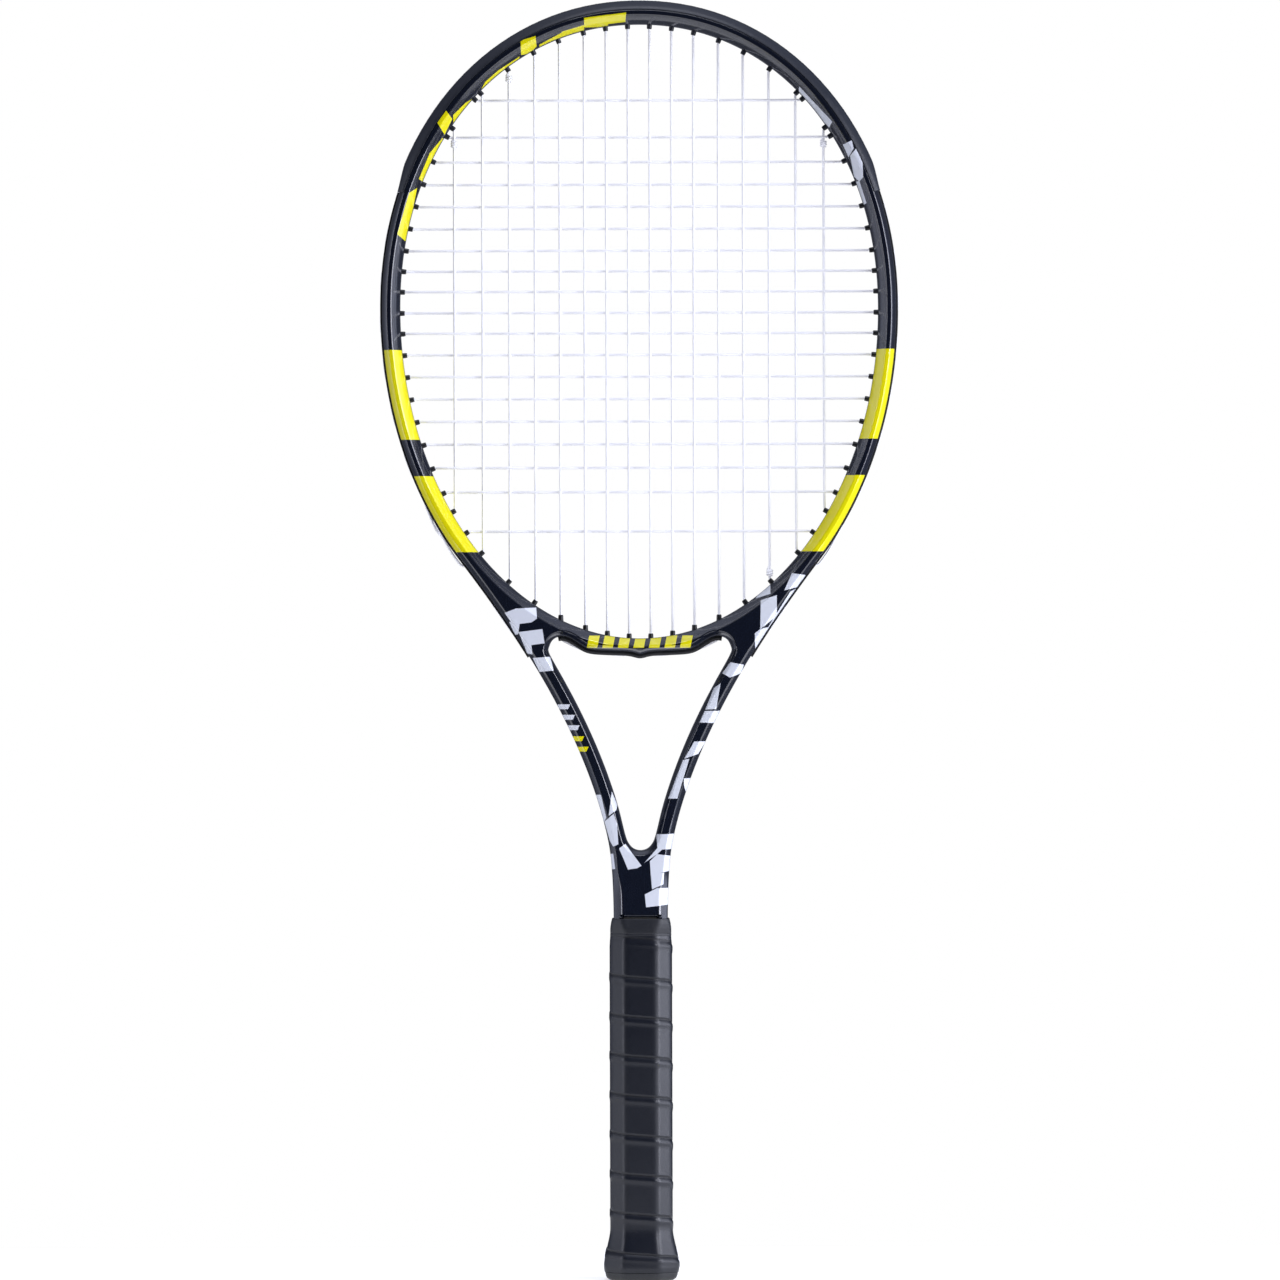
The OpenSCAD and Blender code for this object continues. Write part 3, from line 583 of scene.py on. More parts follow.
class Graph:
    """The node tree of a material, or of the surroundings."""

    def __init__(self, holder: "bpy.types.Material | bpy.types.World") -> None:
        """Empties the holder's node tree."""
        self.holder = holder
        holder.use_nodes = True
        self.tree = holder.node_tree
        self.tree.nodes.clear()
        self.place = self.add("ShaderNodeTexCoord")
        self.where = Value(self, self.place.outputs["Object"])

    @staticmethod
    def of(name: str) -> "Graph":
        """The graph of a new material."""
        return Graph(bpy.data.materials.new(name))

    def add(self, kind: str, settings: dict | None = None, inputs: dict | None = None) -> "bpy.types.Node":
        """Adds a node.

        Args:
            kind: the node's type.
            settings: its properties, set first.
            inputs: values or links of its sockets, by name or number.
        Returns:
            The node.
        """
        node = self.tree.nodes.new(kind)
        for key, value in (settings or {}).items():
            setattr(node, key, value)
        for key, value in (inputs or {}).items():
            if isinstance(value, Value):
                self.tree.links.new(value.socket, node.inputs[key])
            elif isinstance(value, tuple) and len(value) == 3 and node.inputs[key].type == "RGBA":
                node.inputs[key].default_value = (*value, 1.0)
            else:
                node.inputs[key].default_value = value
        return node

    def split(self) -> tuple[Value, Value, Value]:
        """The place on the object in millimetres, as three values."""
        node = self.add("ShaderNodeSeparateXYZ", None, {0: self.where})
        x, y, z = [Value(self, s) * (1 / MM) for s in node.outputs]
        return x, y, z

    def uv(self) -> tuple[Value, Value]:
        """The share of the way round a bar, and the way along it in millimetres."""
        node = self.add("ShaderNodeSeparateXYZ", None,
                        {0: Value(self, self.add("ShaderNodeUVMap", {"uv_map": "UVMap"}).outputs[0])})
        return Value(self, node.outputs[0]), Value(self, node.outputs[1])

    def noise(self, size: float, detail: float = 2.0, rough: float = 0.5,
              stretch: Colour = (1, 1, 1)) -> Value:
        """Cloudy noise whose features are about a given size in millimetres."""
        place = self.add("ShaderNodeMapping", None, {"Vector": self.where, "Scale": stretch})
        node = self.add("ShaderNodeTexNoise", None,
                        {"Vector": Value(self, place.outputs[0]), "Scale": 1 / (size * MM),
                         "Detail": detail, "Roughness": rough})
        return Value(self, node.outputs["Fac"])

    def cells(self, size: float, feature: str = "F1") -> Value:
        """Distance to the nearest of scattered points about a given size in millimetres apart."""
        node = self.add("ShaderNodeTexVoronoi", {"feature": feature},
                        {"Vector": self.where, "Scale": 1 / (size * MM)})
        return Value(self, node.outputs["Distance"])

    def mix(self, share: Value | float, a: "Value | Colour", b: "Value | Colour") -> Value:
        """A colour between two colours."""
        node = self.add("ShaderNodeMix", {"data_type": "RGBA"}, {"Factor": share})
        for socket, value in ((node.inputs[6], a), (node.inputs[7], b)):
            if isinstance(value, Value):
                self.tree.links.new(value.socket, socket)
            else:
                socket.default_value = (*value, 1.0)
        return Value(self, node.outputs[2])

    def bump(self, height: Value, depth: float) -> Value:
        """A surface normal from a height, which counts for depth millimetres."""
        node = self.add("ShaderNodeBump", None, {"Height": height, "Distance": depth * MM, "Strength": 1.0})
        return Value(self, node.outputs[0])

    def surface(self, **sockets: "Value | float | Colour") -> "bpy.types.Material":
        """Ends the graph in a Principled shader.

        Args:
            sockets: the shader's sockets, with underscores for spaces.
        Returns:
            The material.
        """
        inputs = {key.replace("_", " "): value for key, value in sockets.items()}
        shader = self.add("ShaderNodeBsdfPrincipled", None, inputs)
        output = self.add("ShaderNodeOutputMaterial")
        self.tree.links.new(shader.outputs[0], output.inputs[0])
        return self.holder


Patch = tuple[tuple[float, float], ...]


def patches(x: Value, z: Value, shapes: tuple[Patch, ...], soft: float = 0.25) -> Value:
    """How far inside any of several convex patches a place is, as a mask from 0 to 1.

    A patch is the overlap of the half-planes behind its sides: the mask is the least of the
    distances to them, and the whole is the greatest over the patches.

    Args:
        x: the place's X in millimetres.
        z: its Z.
        shapes: corners of each patch in (x, z), in order.
        soft: width of the painted edge.
    Returns:
        The mask.
    """
    best = None
    for shape in shapes:
        corners = np.array(shape, float)
        step = np.roll(corners, -1, 0) - corners
        turn = np.sign(np.sum(corners[:, 0] * np.roll(corners[:, 1], -1)
                              - np.roll(corners[:, 0], -1) * corners[:, 1]))
        normal = turn * np.stack([-step[:, 1], step[:, 0]], 1)
        normal /= np.linalg.norm(normal, axis=1, keepdims=True)
        inside = None
        for n, c in zip(normal, -np.sum(normal * corners, 1)):
            depth = x.plus(float(n[0]), z.plus(float(n[1]), float(c)))
            inside = depth if inside is None else inside.lesser(depth)
        best = inside if best is None else best.greater(inside)
    return best.ramp(-soft / 2, soft / 2)


YELLOW_BANDS = ((450.0, 498.0), (389.8, 430.5))
YELLOW_PATCHES: tuple[Patch, ...] = (
    ((-29, 675.2), (-16, 676.9), (-16.3, 670.9), (-29, 670.4)),
    ((-16.5, 676.8), (-6.5, 678), (-7, 673.3), (-16.5, 672.2)),
    ((-29, 671.6), (-41, 668.0), (-41, 662), (-29, 666)),
    ((-41, 667.6), (-53, 661.3), (-53, 655.5), (-41, 662)),
    ((-63, 663.2), (-55, 665.6), (-54.5, 660.4), (-58.2, 656.7), (-62.8, 655.8)),
    ((-63.7, 655), (-75.2, 647.4), (-75.2, 640), (-63, 650)),
    ((-75.2, 647.4), (-82, 641.4), (-85.5, 635.4), (-85, 631), (-75.2, 640)),
    ((-87.5, 633.4), (-92.4, 630.4), (-99.2, 623.6), (-99, 615), (-87.5, 629)),
    ((-107.6, 619.4), (-102.9, 625.9), (-99.7, 621.6), (-103.9, 613.3)),
    ((-105, 611.6), (-111.8, 603.2), (-117.6, 589.5), (-114, 587), (-100, 609)),
    ((-118.6, 584.7), (-122.8, 581.9), (-129.2, 559.8), (-124.6, 556.1)),
)
WHITE_PATCHES: tuple[Patch, ...] = (
    ((86, 638.5), (103.5, 619.5), (102, 616.5), (85.5, 634.5)),
    ((109.2, 607.2), (113.9, 609.4), (114.9, 605), (112.2, 600.6)),
    ((113, 601.2), (117.1, 606.1), (119.6, 597.9), (119.9, 589.7), (117.9, 587.5), (115.2, 590.3)),
    ((116, 587.5), (118, 587.9), (121.8, 576), (119.8, 575)),
    ((-72.3, 357.3), (-66.3, 359.6), (-55.5, 360.1), (-55, 354.2), (-58, 352.2), (-68, 350.9)),
    ((-70, 352.5), (-64.3, 351.6), (-65, 346), (-66.8, 345.5)),
    ((-64.8, 347), (-52.2, 348.6), (-51, 341), (-62, 339.5)),
    ((-62, 340.5), (-58.1, 340.5), (-57.6, 335), (-60.5, 335.5)),
    ((-57.4, 333.1), (-48.1, 333.8), (-46.2, 326.4), (-53.8, 325.7)),
    ((-24.8, 259.9), (-21.1, 259.9), (-18.3, 247.6), (-19.7, 244.9)),
    ((-15.3, 261.6), (-12.2, 254.4), (-12.9, 251.7), (-17, 248.6)),
    ((-19.3, 245.5), (-12.9, 251), (-12.5, 244.2), (-9.4, 234.6), (-14.6, 232.2), (-16.3, 235)),
    ((-11.5, 231.2), (-8.1, 233.6), (0.5, 221.9), (-1.9, 220.6), (-6.7, 219.9)),
    ((-16.6, 228.1), (-14.6, 228.4), (-13.6, 220.2), (-15.3, 219.9)),
    ((81.3, 378.1), (88.8, 377.1), (86.4, 371.3), (77.2, 368.9)),
    ((69.8, 372.9), (69.8, 367.1), (61.9, 364.7), (64.6, 368.5)),
    ((64.6, 363.7), (73.2, 366.4), (73.2, 355.2), (64.3, 348.3)),
    ((61.6, 338.1), (63.6, 335.4), (84.8, 370.6), (80.4, 368.2)),
    ((61.3, 347.6), (61.6, 338.1), (73.2, 355.2), (64.3, 348.3)),
    ((48.3, 330.6), (55.5, 329.2), (54.2, 324.8), (48, 322.4), (43.9, 324.8)),
    ((43, 319.3), (40.6, 305.6), (34.8, 305.3), (39.5, 316.9)),
    ((34.5, 304.6), (44.4, 304.6), (41.3, 298.1), (31.7, 298.4)),
    ((28.9, 288.3), (35.1, 288.3), (31, 281.7), (23.5, 279)),
    ((14.9, 257.8), (19.7, 257.8), (26.2, 279), (22.8, 278.4)),
    ((23.2, 268.5), (28.9, 268.8), (25.2, 258.5), (23.4, 264.5)),
    ((8.4, 238.7), (19.3, 239), (17.3, 230.8), (9.1, 230.5)),
    ((9.1, 231.5), (2.2, 223.6), (8.8, 228.1), (12, 231)),
    ((5, 224.3), (8.8, 228.1), (16.6, 227.1), (15.6, 219.2), (5.4, 217)),
    ((5.4, 218), (12.5, 218.2), (12.2, 212), (6.1, 209.3)),
    ((2.2, 206.6), (8.8, 210), (14.9, 210), (14.6, 201.1), (2.9, 199.7)),
)


def slanted_marks(first: tuple[float, float], step: tuple[float, float], count: int,
                  wide: float, tall: float, slant: float) -> tuple[Patch, ...]:
    """A row of plain slanted bars, all alike.

    Args:
        first: lower left corner of the first bar.
        step: way from one bar to the next.
        count: how many bars.
        wide: width of a bar.
        tall: height of a bar.
        slant: how far a bar's top leans right.
    Returns:
        The bars' corners.
    """
    made = []
    for i in range(count):
        x, z = first[0] + i * step[0], first[1] + i * step[1]
        made.append(((x, z), (x + wide, z), (x + wide + slant, z + tall), (x + slant, z + tall)))
    return tuple(made)


# ---------- finishes ----------


@dataclass(frozen=True)
class Lacquer:
    """Near-black lacquer over carbon, with painted yellow and white blocks under a clear coat."""

    ground: Colour = (0.0036, 0.0058, 0.0135)
    ground_pale: Colour = (0.009, 0.0115, 0.021)
    yellow: Colour = (0.90, 0.82, 0.001)
    yellow_deep: Colour = (0.85, 0.77, 0.001)
    white: Colour = (0.80, 0.83, 0.88)
    white_dull: Colour = (0.76, 0.79, 0.86)
    flake_size: float = 0.28
    peel_size: float = 2.6

    def material(self) -> "bpy.types.Material":
        """Builds the node tree."""
        g = Graph.of("lacquered_carbon")
        x, y, z = g.split()
        face = y.size().ramp(3.5, 3.9).greater(z.ramp(334.5, 335.5, 1.0, 0.0))
        bands = None
        for low, high in YELLOW_BANDS:
            middle, half = (low + high) / 2, (high - low) / 2
            band = (z - middle).size().ramp(half - 0.12, half + 0.12, 1.0, 0.0)
            bands = band if bands is None else bands.greater(band)
        dashes = slanted_marks((-28.5, 338.4), (8.3, 0), 7, 5.6, 6.6, 1.4)
        ticks = slanted_marks((-35.5, 283), (-2.3, 5.6), 2, 6.6, 2.6, 1.2)
        white_ticks = slanted_marks((-40.2, 294.5), (-2.5, 5.6), 3, 6.6, 2.6, 1.2)
        yellow = patches(x, z, YELLOW_PATCHES + dashes + ticks) * face
        yellow = yellow.greater(bands)
        white = patches(x, z, WHITE_PATCHES + white_ticks) * face
        flake = g.cells(self.flake_size).ramp(0.05, 0.55, 1.0, 0.0)
        cloud = g.noise(38, 3)
        ground = g.mix(flake * 0.35 + cloud * 0.15, self.ground, self.ground_pale)
        tone = g.noise(60, 2)
        gold = g.mix(tone.ramp(0.3, 0.7), self.yellow, self.yellow_deep)
        pale = g.mix(tone.ramp(0.3, 0.7), self.white, self.white_dull)
        paint = g.mix(white, g.mix(yellow, ground, gold), pale)
        wipe = g.noise(9, 4, 0.7, (1, 1, 0.25))
        scratch = g.noise(0.9, 2, 0.5, (1, 1, 0.06)).ramp(0.68, 0.76)
        rough = (wipe * 0.08 + scratch * 0.10) + 0.20
        edge = white.greater(yellow)
        height = g.noise(self.peel_size, 2) * 0.6 + edge * 0.25
        return g.surface(Base_Color=paint, Roughness=rough, Metallic=flake * 0.25 * (1 - edge),
                         Coat_Weight=1.0, Coat_Roughness=0.07, Coat_IOR=1.5, IOR=1.45,
                         Normal=g.bump(height, 0.035))


@dataclass(frozen=True)
class Moulded:
    """A moulded plastic or rubber with fine spark texture, scuffs and a little dust."""

    name: str
    colour: Colour
    worn: Colour
    rough: float = 0.5
    grain: float = 0.35
    grain_depth: float = 0.03
    scuff: float = 0.3

    def material(self) -> "bpy.types.Material":
        """Builds the node tree."""
        g = Graph.of(self.name)
        speck = g.cells(self.grain)
        grain = g.noise(self.grain * 1.7, 3, 0.6)
        patch = g.noise(24, 4, 0.6)
        rub = g.noise(3.2, 4, 0.7, (1, 1, 0.35)).ramp(0.52, 0.72) * self.scuff
        tint = g.mix(rub + patch * 0.15, self.colour, self.worn)
        rough = (patch * 0.12 + grain * 0.1) + (self.rough - 0.1) + rub * 0.12
        return g.surface(Base_Color=tint, Roughness=rough, IOR=1.48,
                         Normal=g.bump(speck * 0.5 + grain * 0.7, self.grain_depth))


@dataclass(frozen=True)
class Leatherette:
    """The grip's tacky synthetic leather: fine grain, pinholes in rows and a duller seam, whose crease is
    darkened with painted shade.
    """

    colour: Colour = (0.0040, 0.0055, 0.0110)
    pale: Colour = (0.0085, 0.0100, 0.0150)
    # Painted shade: the darker colour laid along the crease between turns.
    shaded_seam: Colour = (0.0025, 0.003, 0.005)

    def material(self) -> "bpy.types.Material":
        """Builds the node tree."""
        g = Graph.of("grip_leatherette")
        grain = g.cells(0.75, "SMOOTH_F1")
        fine = g.noise(0.45, 3, 0.6)
        cloud = g.noise(18, 3, 0.6)
        shaded_seam = Value(g, g.add("ShaderNodeAttribute", {"attribute_name": "crease"}).outputs["Fac"])
        handled = g.noise(46, 2).ramp(0.35, 0.65)
        tint = g.mix(cloud * 0.5 + grain * 0.25, self.colour, self.pale)
        # Painted shade: the colour darkens along the crease; the surface is also rougher there.
        tint = g.mix(shaded_seam * 0.85, tint, self.shaded_seam)
        rough = (cloud * 0.08 + fine * 0.08) + handled * 0.05 + 0.25 + shaded_seam * 0.2
        return g.surface(Base_Color=tint, Roughness=rough, IOR=1.5, Specular_IOR_Level=0.42,
                         Normal=g.bump(grain * 0.8 + fine * 0.4, 0.02))


@dataclass(frozen=True)
class Cordage:
    """White monofilament string: faint lengthwise wraps under a slick skin, dulled by play, with a faint
    painted white emission that lifts its shaded sides.
    """

    colour: Colour = (0.86, 0.87, 0.90)
    soiled: Colour = (0.74, 0.75, 0.78)
    # Painted light: a white emission colour and strength that brighten the string's shade.
    painted_glow: Colour = (0.91, 0.90, 1.0)
    painted_glow_strength: float = 0.21
    twist: float = 3.2

    def material(self) -> "bpy.types.Material":
        """Builds the node tree."""
        g = Graph.of("string_polymer")
        turn, way = g.uv()
        strand = ((turn * 6 + way / self.twist) * (2 * math.pi)).math("SINE")
        soil = g.noise(20, 3, 0.6).ramp(0.45, 0.75)
        tint = g.mix(soil * 0.5, self.colour, self.soiled)
        # The emission is painted light, lifting the shaded sides of the string.
        return g.surface(Base_Color=tint, Roughness=g.noise(4, 2) * 0.14 + 0.22, IOR=1.53,
                         Coat_Weight=0.4, Coat_Roughness=0.15, Emission_Color=self.painted_glow,
                         Emission_Strength=self.painted_glow_strength, Normal=g.bump(strand * 0.5 + 0.5, 0.02))


@dataclass(frozen=True)
class Foam:
    """Cut rigid foam with open cells, its colour darker in the cell pits as painted shade."""

    name: str
    colour: Colour
    dark: Colour
    cell: float = 0.9

    def material(self) -> "bpy.types.Material":
        """Builds the node tree."""
        g = Graph.of(self.name)
        pit = g.cells(self.cell).ramp(0.1, 0.6)
        cloud = g.noise(12, 4, 0.6)
        # Painted shade: the colour goes dark in the cell pits; the cloud is random tone.
        return g.surface(Base_Color=g.mix(pit * 0.6 + cloud * 0.4, self.dark, self.colour),
                         Roughness=cloud * 0.1 + 0.82, Normal=g.bump(pit, 0.12))


@dataclass(frozen=True)
class Wire:
    """Drawn steel wire with lengthwise lines."""

    def material(self) -> "bpy.types.Material":
        """Builds the node tree."""
        g = Graph.of("staple_steel")
        lines = g.noise(0.3, 3, 0.6, (0.1, 1, 1))
        return g.surface(Base_Color=g.mix(g.noise(2, 2), (0.42, 0.43, 0.45), (0.55, 0.56, 0.57)),
                         Metallic=1.0, Roughness=lines * 0.15 + 0.25, Normal=g.bump(lines, 0.01))


# ---------- the painted frame ----------


@dataclass
class Edge:
    """A closed edge of the frame in the string plane, and the profile of the wall behind it."""

    line: Array
    inset: Array
    height: Array

    def rings(self) -> Array:
        """The wall's points: each profile point is the edge moved into the material by its inset.

        Returns:
            Points of shape (profile points, edge points, 3), front to back.
        """
        ahead = np.roll(self.line, -1, 0) - np.roll(self.line, 1, 0)
        ahead /= np.linalg.norm(ahead, axis=1, keepdims=True)
        inward = np.stack([-ahead[:, 1], ahead[:, 0]], 1)
        inward = softened(inward, 1.2, 1.0, True)
        inward /= np.linalg.norm(inward, axis=1, keepdims=True)
        inset = np.concatenate([self.inset[::-1], self.inset[1:]])
        height = np.concatenate([-self.height[::-1], self.height[1:]])
        x = self.line[None, :, 0] + inset * inward[None, :, 0]
        z = self.line[None, :, 1] + inset * inward[None, :, 1]
        return np.stack([x, height + 0 * x, z], -1)


def wall_profile(knots: tuple[tuple[float, float], ...], ease: tuple[float, ...]) -> Array:
    """Half of a wall's profile from its middle to the flat face, with eased corners.

    Args:
        knots: (inset, height) corners from the wall's middle to the face.
        ease: how far each corner's curve reaches.
    Returns:
        Points of shape (n, 2).
    """
    return rounded(np.array(knots, float), np.array(ease), 5, closed=False)


@dataclass
class PaintedFrame:
    """The lacquered frame: hoop, bridge, shafts and throat as one skin with two openings."""

    line: HeadLine
    spacing: float = 1.1
    face: float = 12.0
    outer_bevel: float = 2.5
    outer_flat: float = 7.4
    foot_bevel: float = 4.7
    foot_z: float = 190.3
    foot_half: float = 14.35
    channel: float = 1.2
    channel_half: float = 3.4
    hold: float = 0.9

    def outer_line(self) -> Array:
        """The outline: hoop and shafts, then in to the handle's width."""
        side = self.line.side(90, 1.0, 0.5)
        points = side.at(self.line.beam / 2)
        points = points[points[:, 1] > self.foot_z + 0.5]
        x, z = points[:, 0], points[:, 1]
        blend = 1.1
        foot = self.foot_half + 0.004 * np.clip(z - 196, 0, 24) ** 1.5
        low = z < 260
        soft = blend * np.logaddexp(x / blend, foot / blend)
        x = np.where(low, np.where(z < 250, soft, soft + (x - soft) * smooth_step(z, 250, 260)), x)
        right = np.stack([x, z], 1)
        corner = np.array([[self.foot_half, self.foot_z + 1.2], [self.foot_half - 1.2, self.foot_z]])
        right = np.vstack([right[right[:, 1] > self.foot_z + 1.6], corner])
        whole = np.vstack([right, right[::-1] * [-1, 1]])
        return resampled(whole[::-1], self.spacing, True)

    def head_line(self) -> Array:
        """The head's opening."""
        side = self.line.hoop(np.arange(90, -90.1, -0.4)).at(-self.line.beam / 2)
        whole = np.vstack([side, (side[1:-1] * [-1, 1])[::-1]])
        return resampled(whole, self.spacing, True)

    def throat_line(self) -> Array:
        """The throat's opening: round V, the shafts' inner sides, two arches and the bridge."""
        low = self.throat_side()
        right = spline(low, 0.4)
        whole = np.vstack([right, (right[1:-1] * [-1, 1])[::-1]])
        even = resampled(whole[::-1], 0.7, True)
        return softened(even, 0.9, 0.7, True)

    def throat_side(self) -> Array:
        """Points on the right half of the throat's opening, from the V up to the bridge."""
        t = np.linspace(0.30, 0.80, 9)
        shaft = self.line.shaft(t).at(-self.line.beam / 2)[::-1]
        vee = np.array([(0, 229.8), (3.4, 230.7), (6.0, 233.2), (8.0, 237.8)])
        shaft = shaft[(shaft[:, 1] > 243) & (shaft[:, 1] < 329)]
        arch = np.array([(48.6, 335.5), (48.6, 339.2), (46.8, 342.8), (43.0, 344.6), (39.0, 344.2),
                         (36.0, 342.7), (33.0, 340.8), (29.0, 338.3), (24.4, 337.2), (15.0, 336.7),
                         (7.0, 336.4), (2.6, 335.6), (0, 334.6)])
        return np.vstack([vee, shaft, arch])

    def edges(self) -> list[Edge]:
        """The three edges with their walls."""
        outer = self.outer_line()
        z = outer[:, 1]
        f, b, c = self.outer_flat, self.outer_bevel, self.channel_half
        ease = (0, 0.3, 0.4, 1.5, 1.9, 0)
        hoop = wall_profile(((self.channel, 0), (self.channel, c), (0, c + 0.8), (0, f), (b, self.face),
                             (b + self.hold, self.face)), ease)
        plain = wall_profile(((0, 0), (0, c), (0, c + 0.8), (0, f), (b + 0.3, self.face),
                              (b + 0.3 + self.hold, self.face)), ease)
        foot = wall_profile(((0, 0), (0, c), (0, c + 0.8), (0, f), (self.foot_bevel, self.face),
                             (self.foot_bevel + self.hold, self.face)), ease)
        groove = smooth_step(z, 336.5, 338.5)[None, :, None]
        low = (1 - smooth_step(z, 205, 221))[None, :, None]
        wall = hoop[:, None] * groove + (1 - groove) * (plain[:, None] * (1 - low) + foot[:, None] * low)
        head = self.head_line()
        inner = wall_profile(((0, 0), (0, 4.6), (1.7, 8.0), (4.6, self.face), (4.6 + self.hold, self.face)),
                             (0, 2.2, 1.6, 1.9, 0))
        throat = self.throat_line()
        vee = wall_profile(((0, 0), (0, 6.4), (0.9, 9.2), (2.6, self.face), (2.6 + self.hold, self.face)),
                           (0, 2.2, 1.4, 1.5, 0))
        return [Edge(outer, wall[..., 0], wall[..., 1]),
                Edge(head, inner[:, :1] + 0 * head[None, :, 0], inner[:, 1:] + 0 * head[None, :, 0]),
                Edge(throat, vee[:, :1] + 0 * throat[None, :, 0], vee[:, 1:] + 0 * throat[None, :, 0])]

    @staticmethod
    def within(points: Array, loop: Array) -> Array:
        """Whether points of shape (n, 2) lie inside a closed line, by counting crossings."""
        a, b = loop[None], np.roll(loop, -1, 0)[None]
        px, py = points[:, None, 0], points[:, None, 1]
        spans = (a[..., 1] > py) != (b[..., 1] > py)
        rise = np.where(b[..., 1] == a[..., 1], 1e-9, b[..., 1] - a[..., 1])
        meets = px < a[..., 0] + (py - a[..., 1]) / rise * (b[..., 0] - a[..., 0])
        return (spans & meets).sum(1) % 2 == 1

    def fill(self, index: Array, links: Array, loops: list[Array], points: Array, back: bool) -> Array:
        """Triangles of the flat face between the outline and the two openings.

        Args:
            index: each flat point's number in the whole shell.
            links: pairs of neighbours on the loops.
            loops: the outline and the openings, as (n, 2).
            points: the whole shell's points.
            back: whether this is the face on the far side.
        Returns:
            Triangles that face outwards.
        """
        flat = np.vstack(loops)
        made = delaunay_2d_cdt([Vector(p) for p in flat], links.tolist(), [], 0, 1e-5)
        tri = np.array(made[2], int)
        spots = np.array([tuple(v) for v in made[0]])
        middle = spots[tri].mean(1)
        keep = self.within(middle, loops[0]) & ~self.within(middle, loops[1]) & ~self.within(middle, loops[2])
        source = np.array([ids[0] if ids else -1 for ids in made[3]], int)
        tri = source[tri[keep]]
        filled = index[tri[(tri >= 0).all(1)]]
        p = points[filled]
        up = np.cross(p[:, 1] - p[:, 0], p[:, 2] - p[:, 0])[:, 1]
        wrong = up < 0 if back else up > 0
        filled[wrong] = filled[wrong][:, ::-1]
        return filled

    def shell(self) -> Shell:
        """The walls behind the three edges, and flat faces between them in front and behind.

        Returns:
            A closed shell with two openings through it.
        """
        walls = [edge.rings() for edge in self.edges()]
        shells = [grid_shell(w, caps=False) for w in walls]
        whole = joined(shells)
        starts = np.cumsum([0] + [w.shape[0] * w.shape[1] for w in walls])[:-1]
        tris = []
        for last in (False, True):
            index, links, loops = [], [], []
            for w, start in zip(walls, starts):
                rings, cols = w.shape[:2]
                first = sum(len(i) for i in index)
                ring = np.arange(cols)
                index.append(start + (rings - 1 if last else 0) * cols + ring)
                links.append(np.stack([first + ring, first + (ring + 1) % cols], 1))
                loops.append(w[-1 if last else 0][:, [0, 2]])
            tris.append(self.fill(np.concatenate(index), np.vstack(links), loops, whole.points, last))
        faces = np.vstack(tris)
        skin = Shell(whole.points, whole.quads, faces, whole.quad_uv, np.zeros((len(faces), 3, 2)))
        middle = skin.points[skin.quads[0]].mean(0)
        a, b, c = skin.points[skin.quads[0][:3]]
        facing = np.cross(b - a, c - b)
        away = middle - np.array([0, 0, self.line.widest_z])
        if facing @ away < 0:
            skin.quads, skin.quad_uv = skin.quads[:, ::-1], skin.quad_uv[:, ::-1]
        return skin

    def build(self, finish: "bpy.types.Material") -> None:
        """Makes the piece that stands for the hairpin, the bridge and the sleeve."""
        make_object("painted_frame", self.shell(), finish, Body.RACKET,
                    ("frame_hairpin", "bridge", "throat_sleeve"))


@dataclass
class BridgeCore:
    """The foam bar inside the bridge."""

    line: HeadLine
    half_width: float = 58.0

    def build(self, finish: "bpy.types.Material") -> None:
        """A flat bar carried along the middle of the bridge."""
        turn = self.line.hoop(np.linspace(-90, -63, 60))
        right = turn.picked(turn.x < self.half_width)
        whole = right.picked(np.arange(1, len(right.x))).mirrored().followed(right)
        section = rounded(np.array([(-1.6, -6.0), (1.6, -6.0), (1.6, 6.0), (-1.6, 6.0)]), 0.6, 3)
        make_object("bridge_foam", whole.swept(section), finish, Body.RACKET, ("bridge_core",))


# ---------- grommets and strings ----------


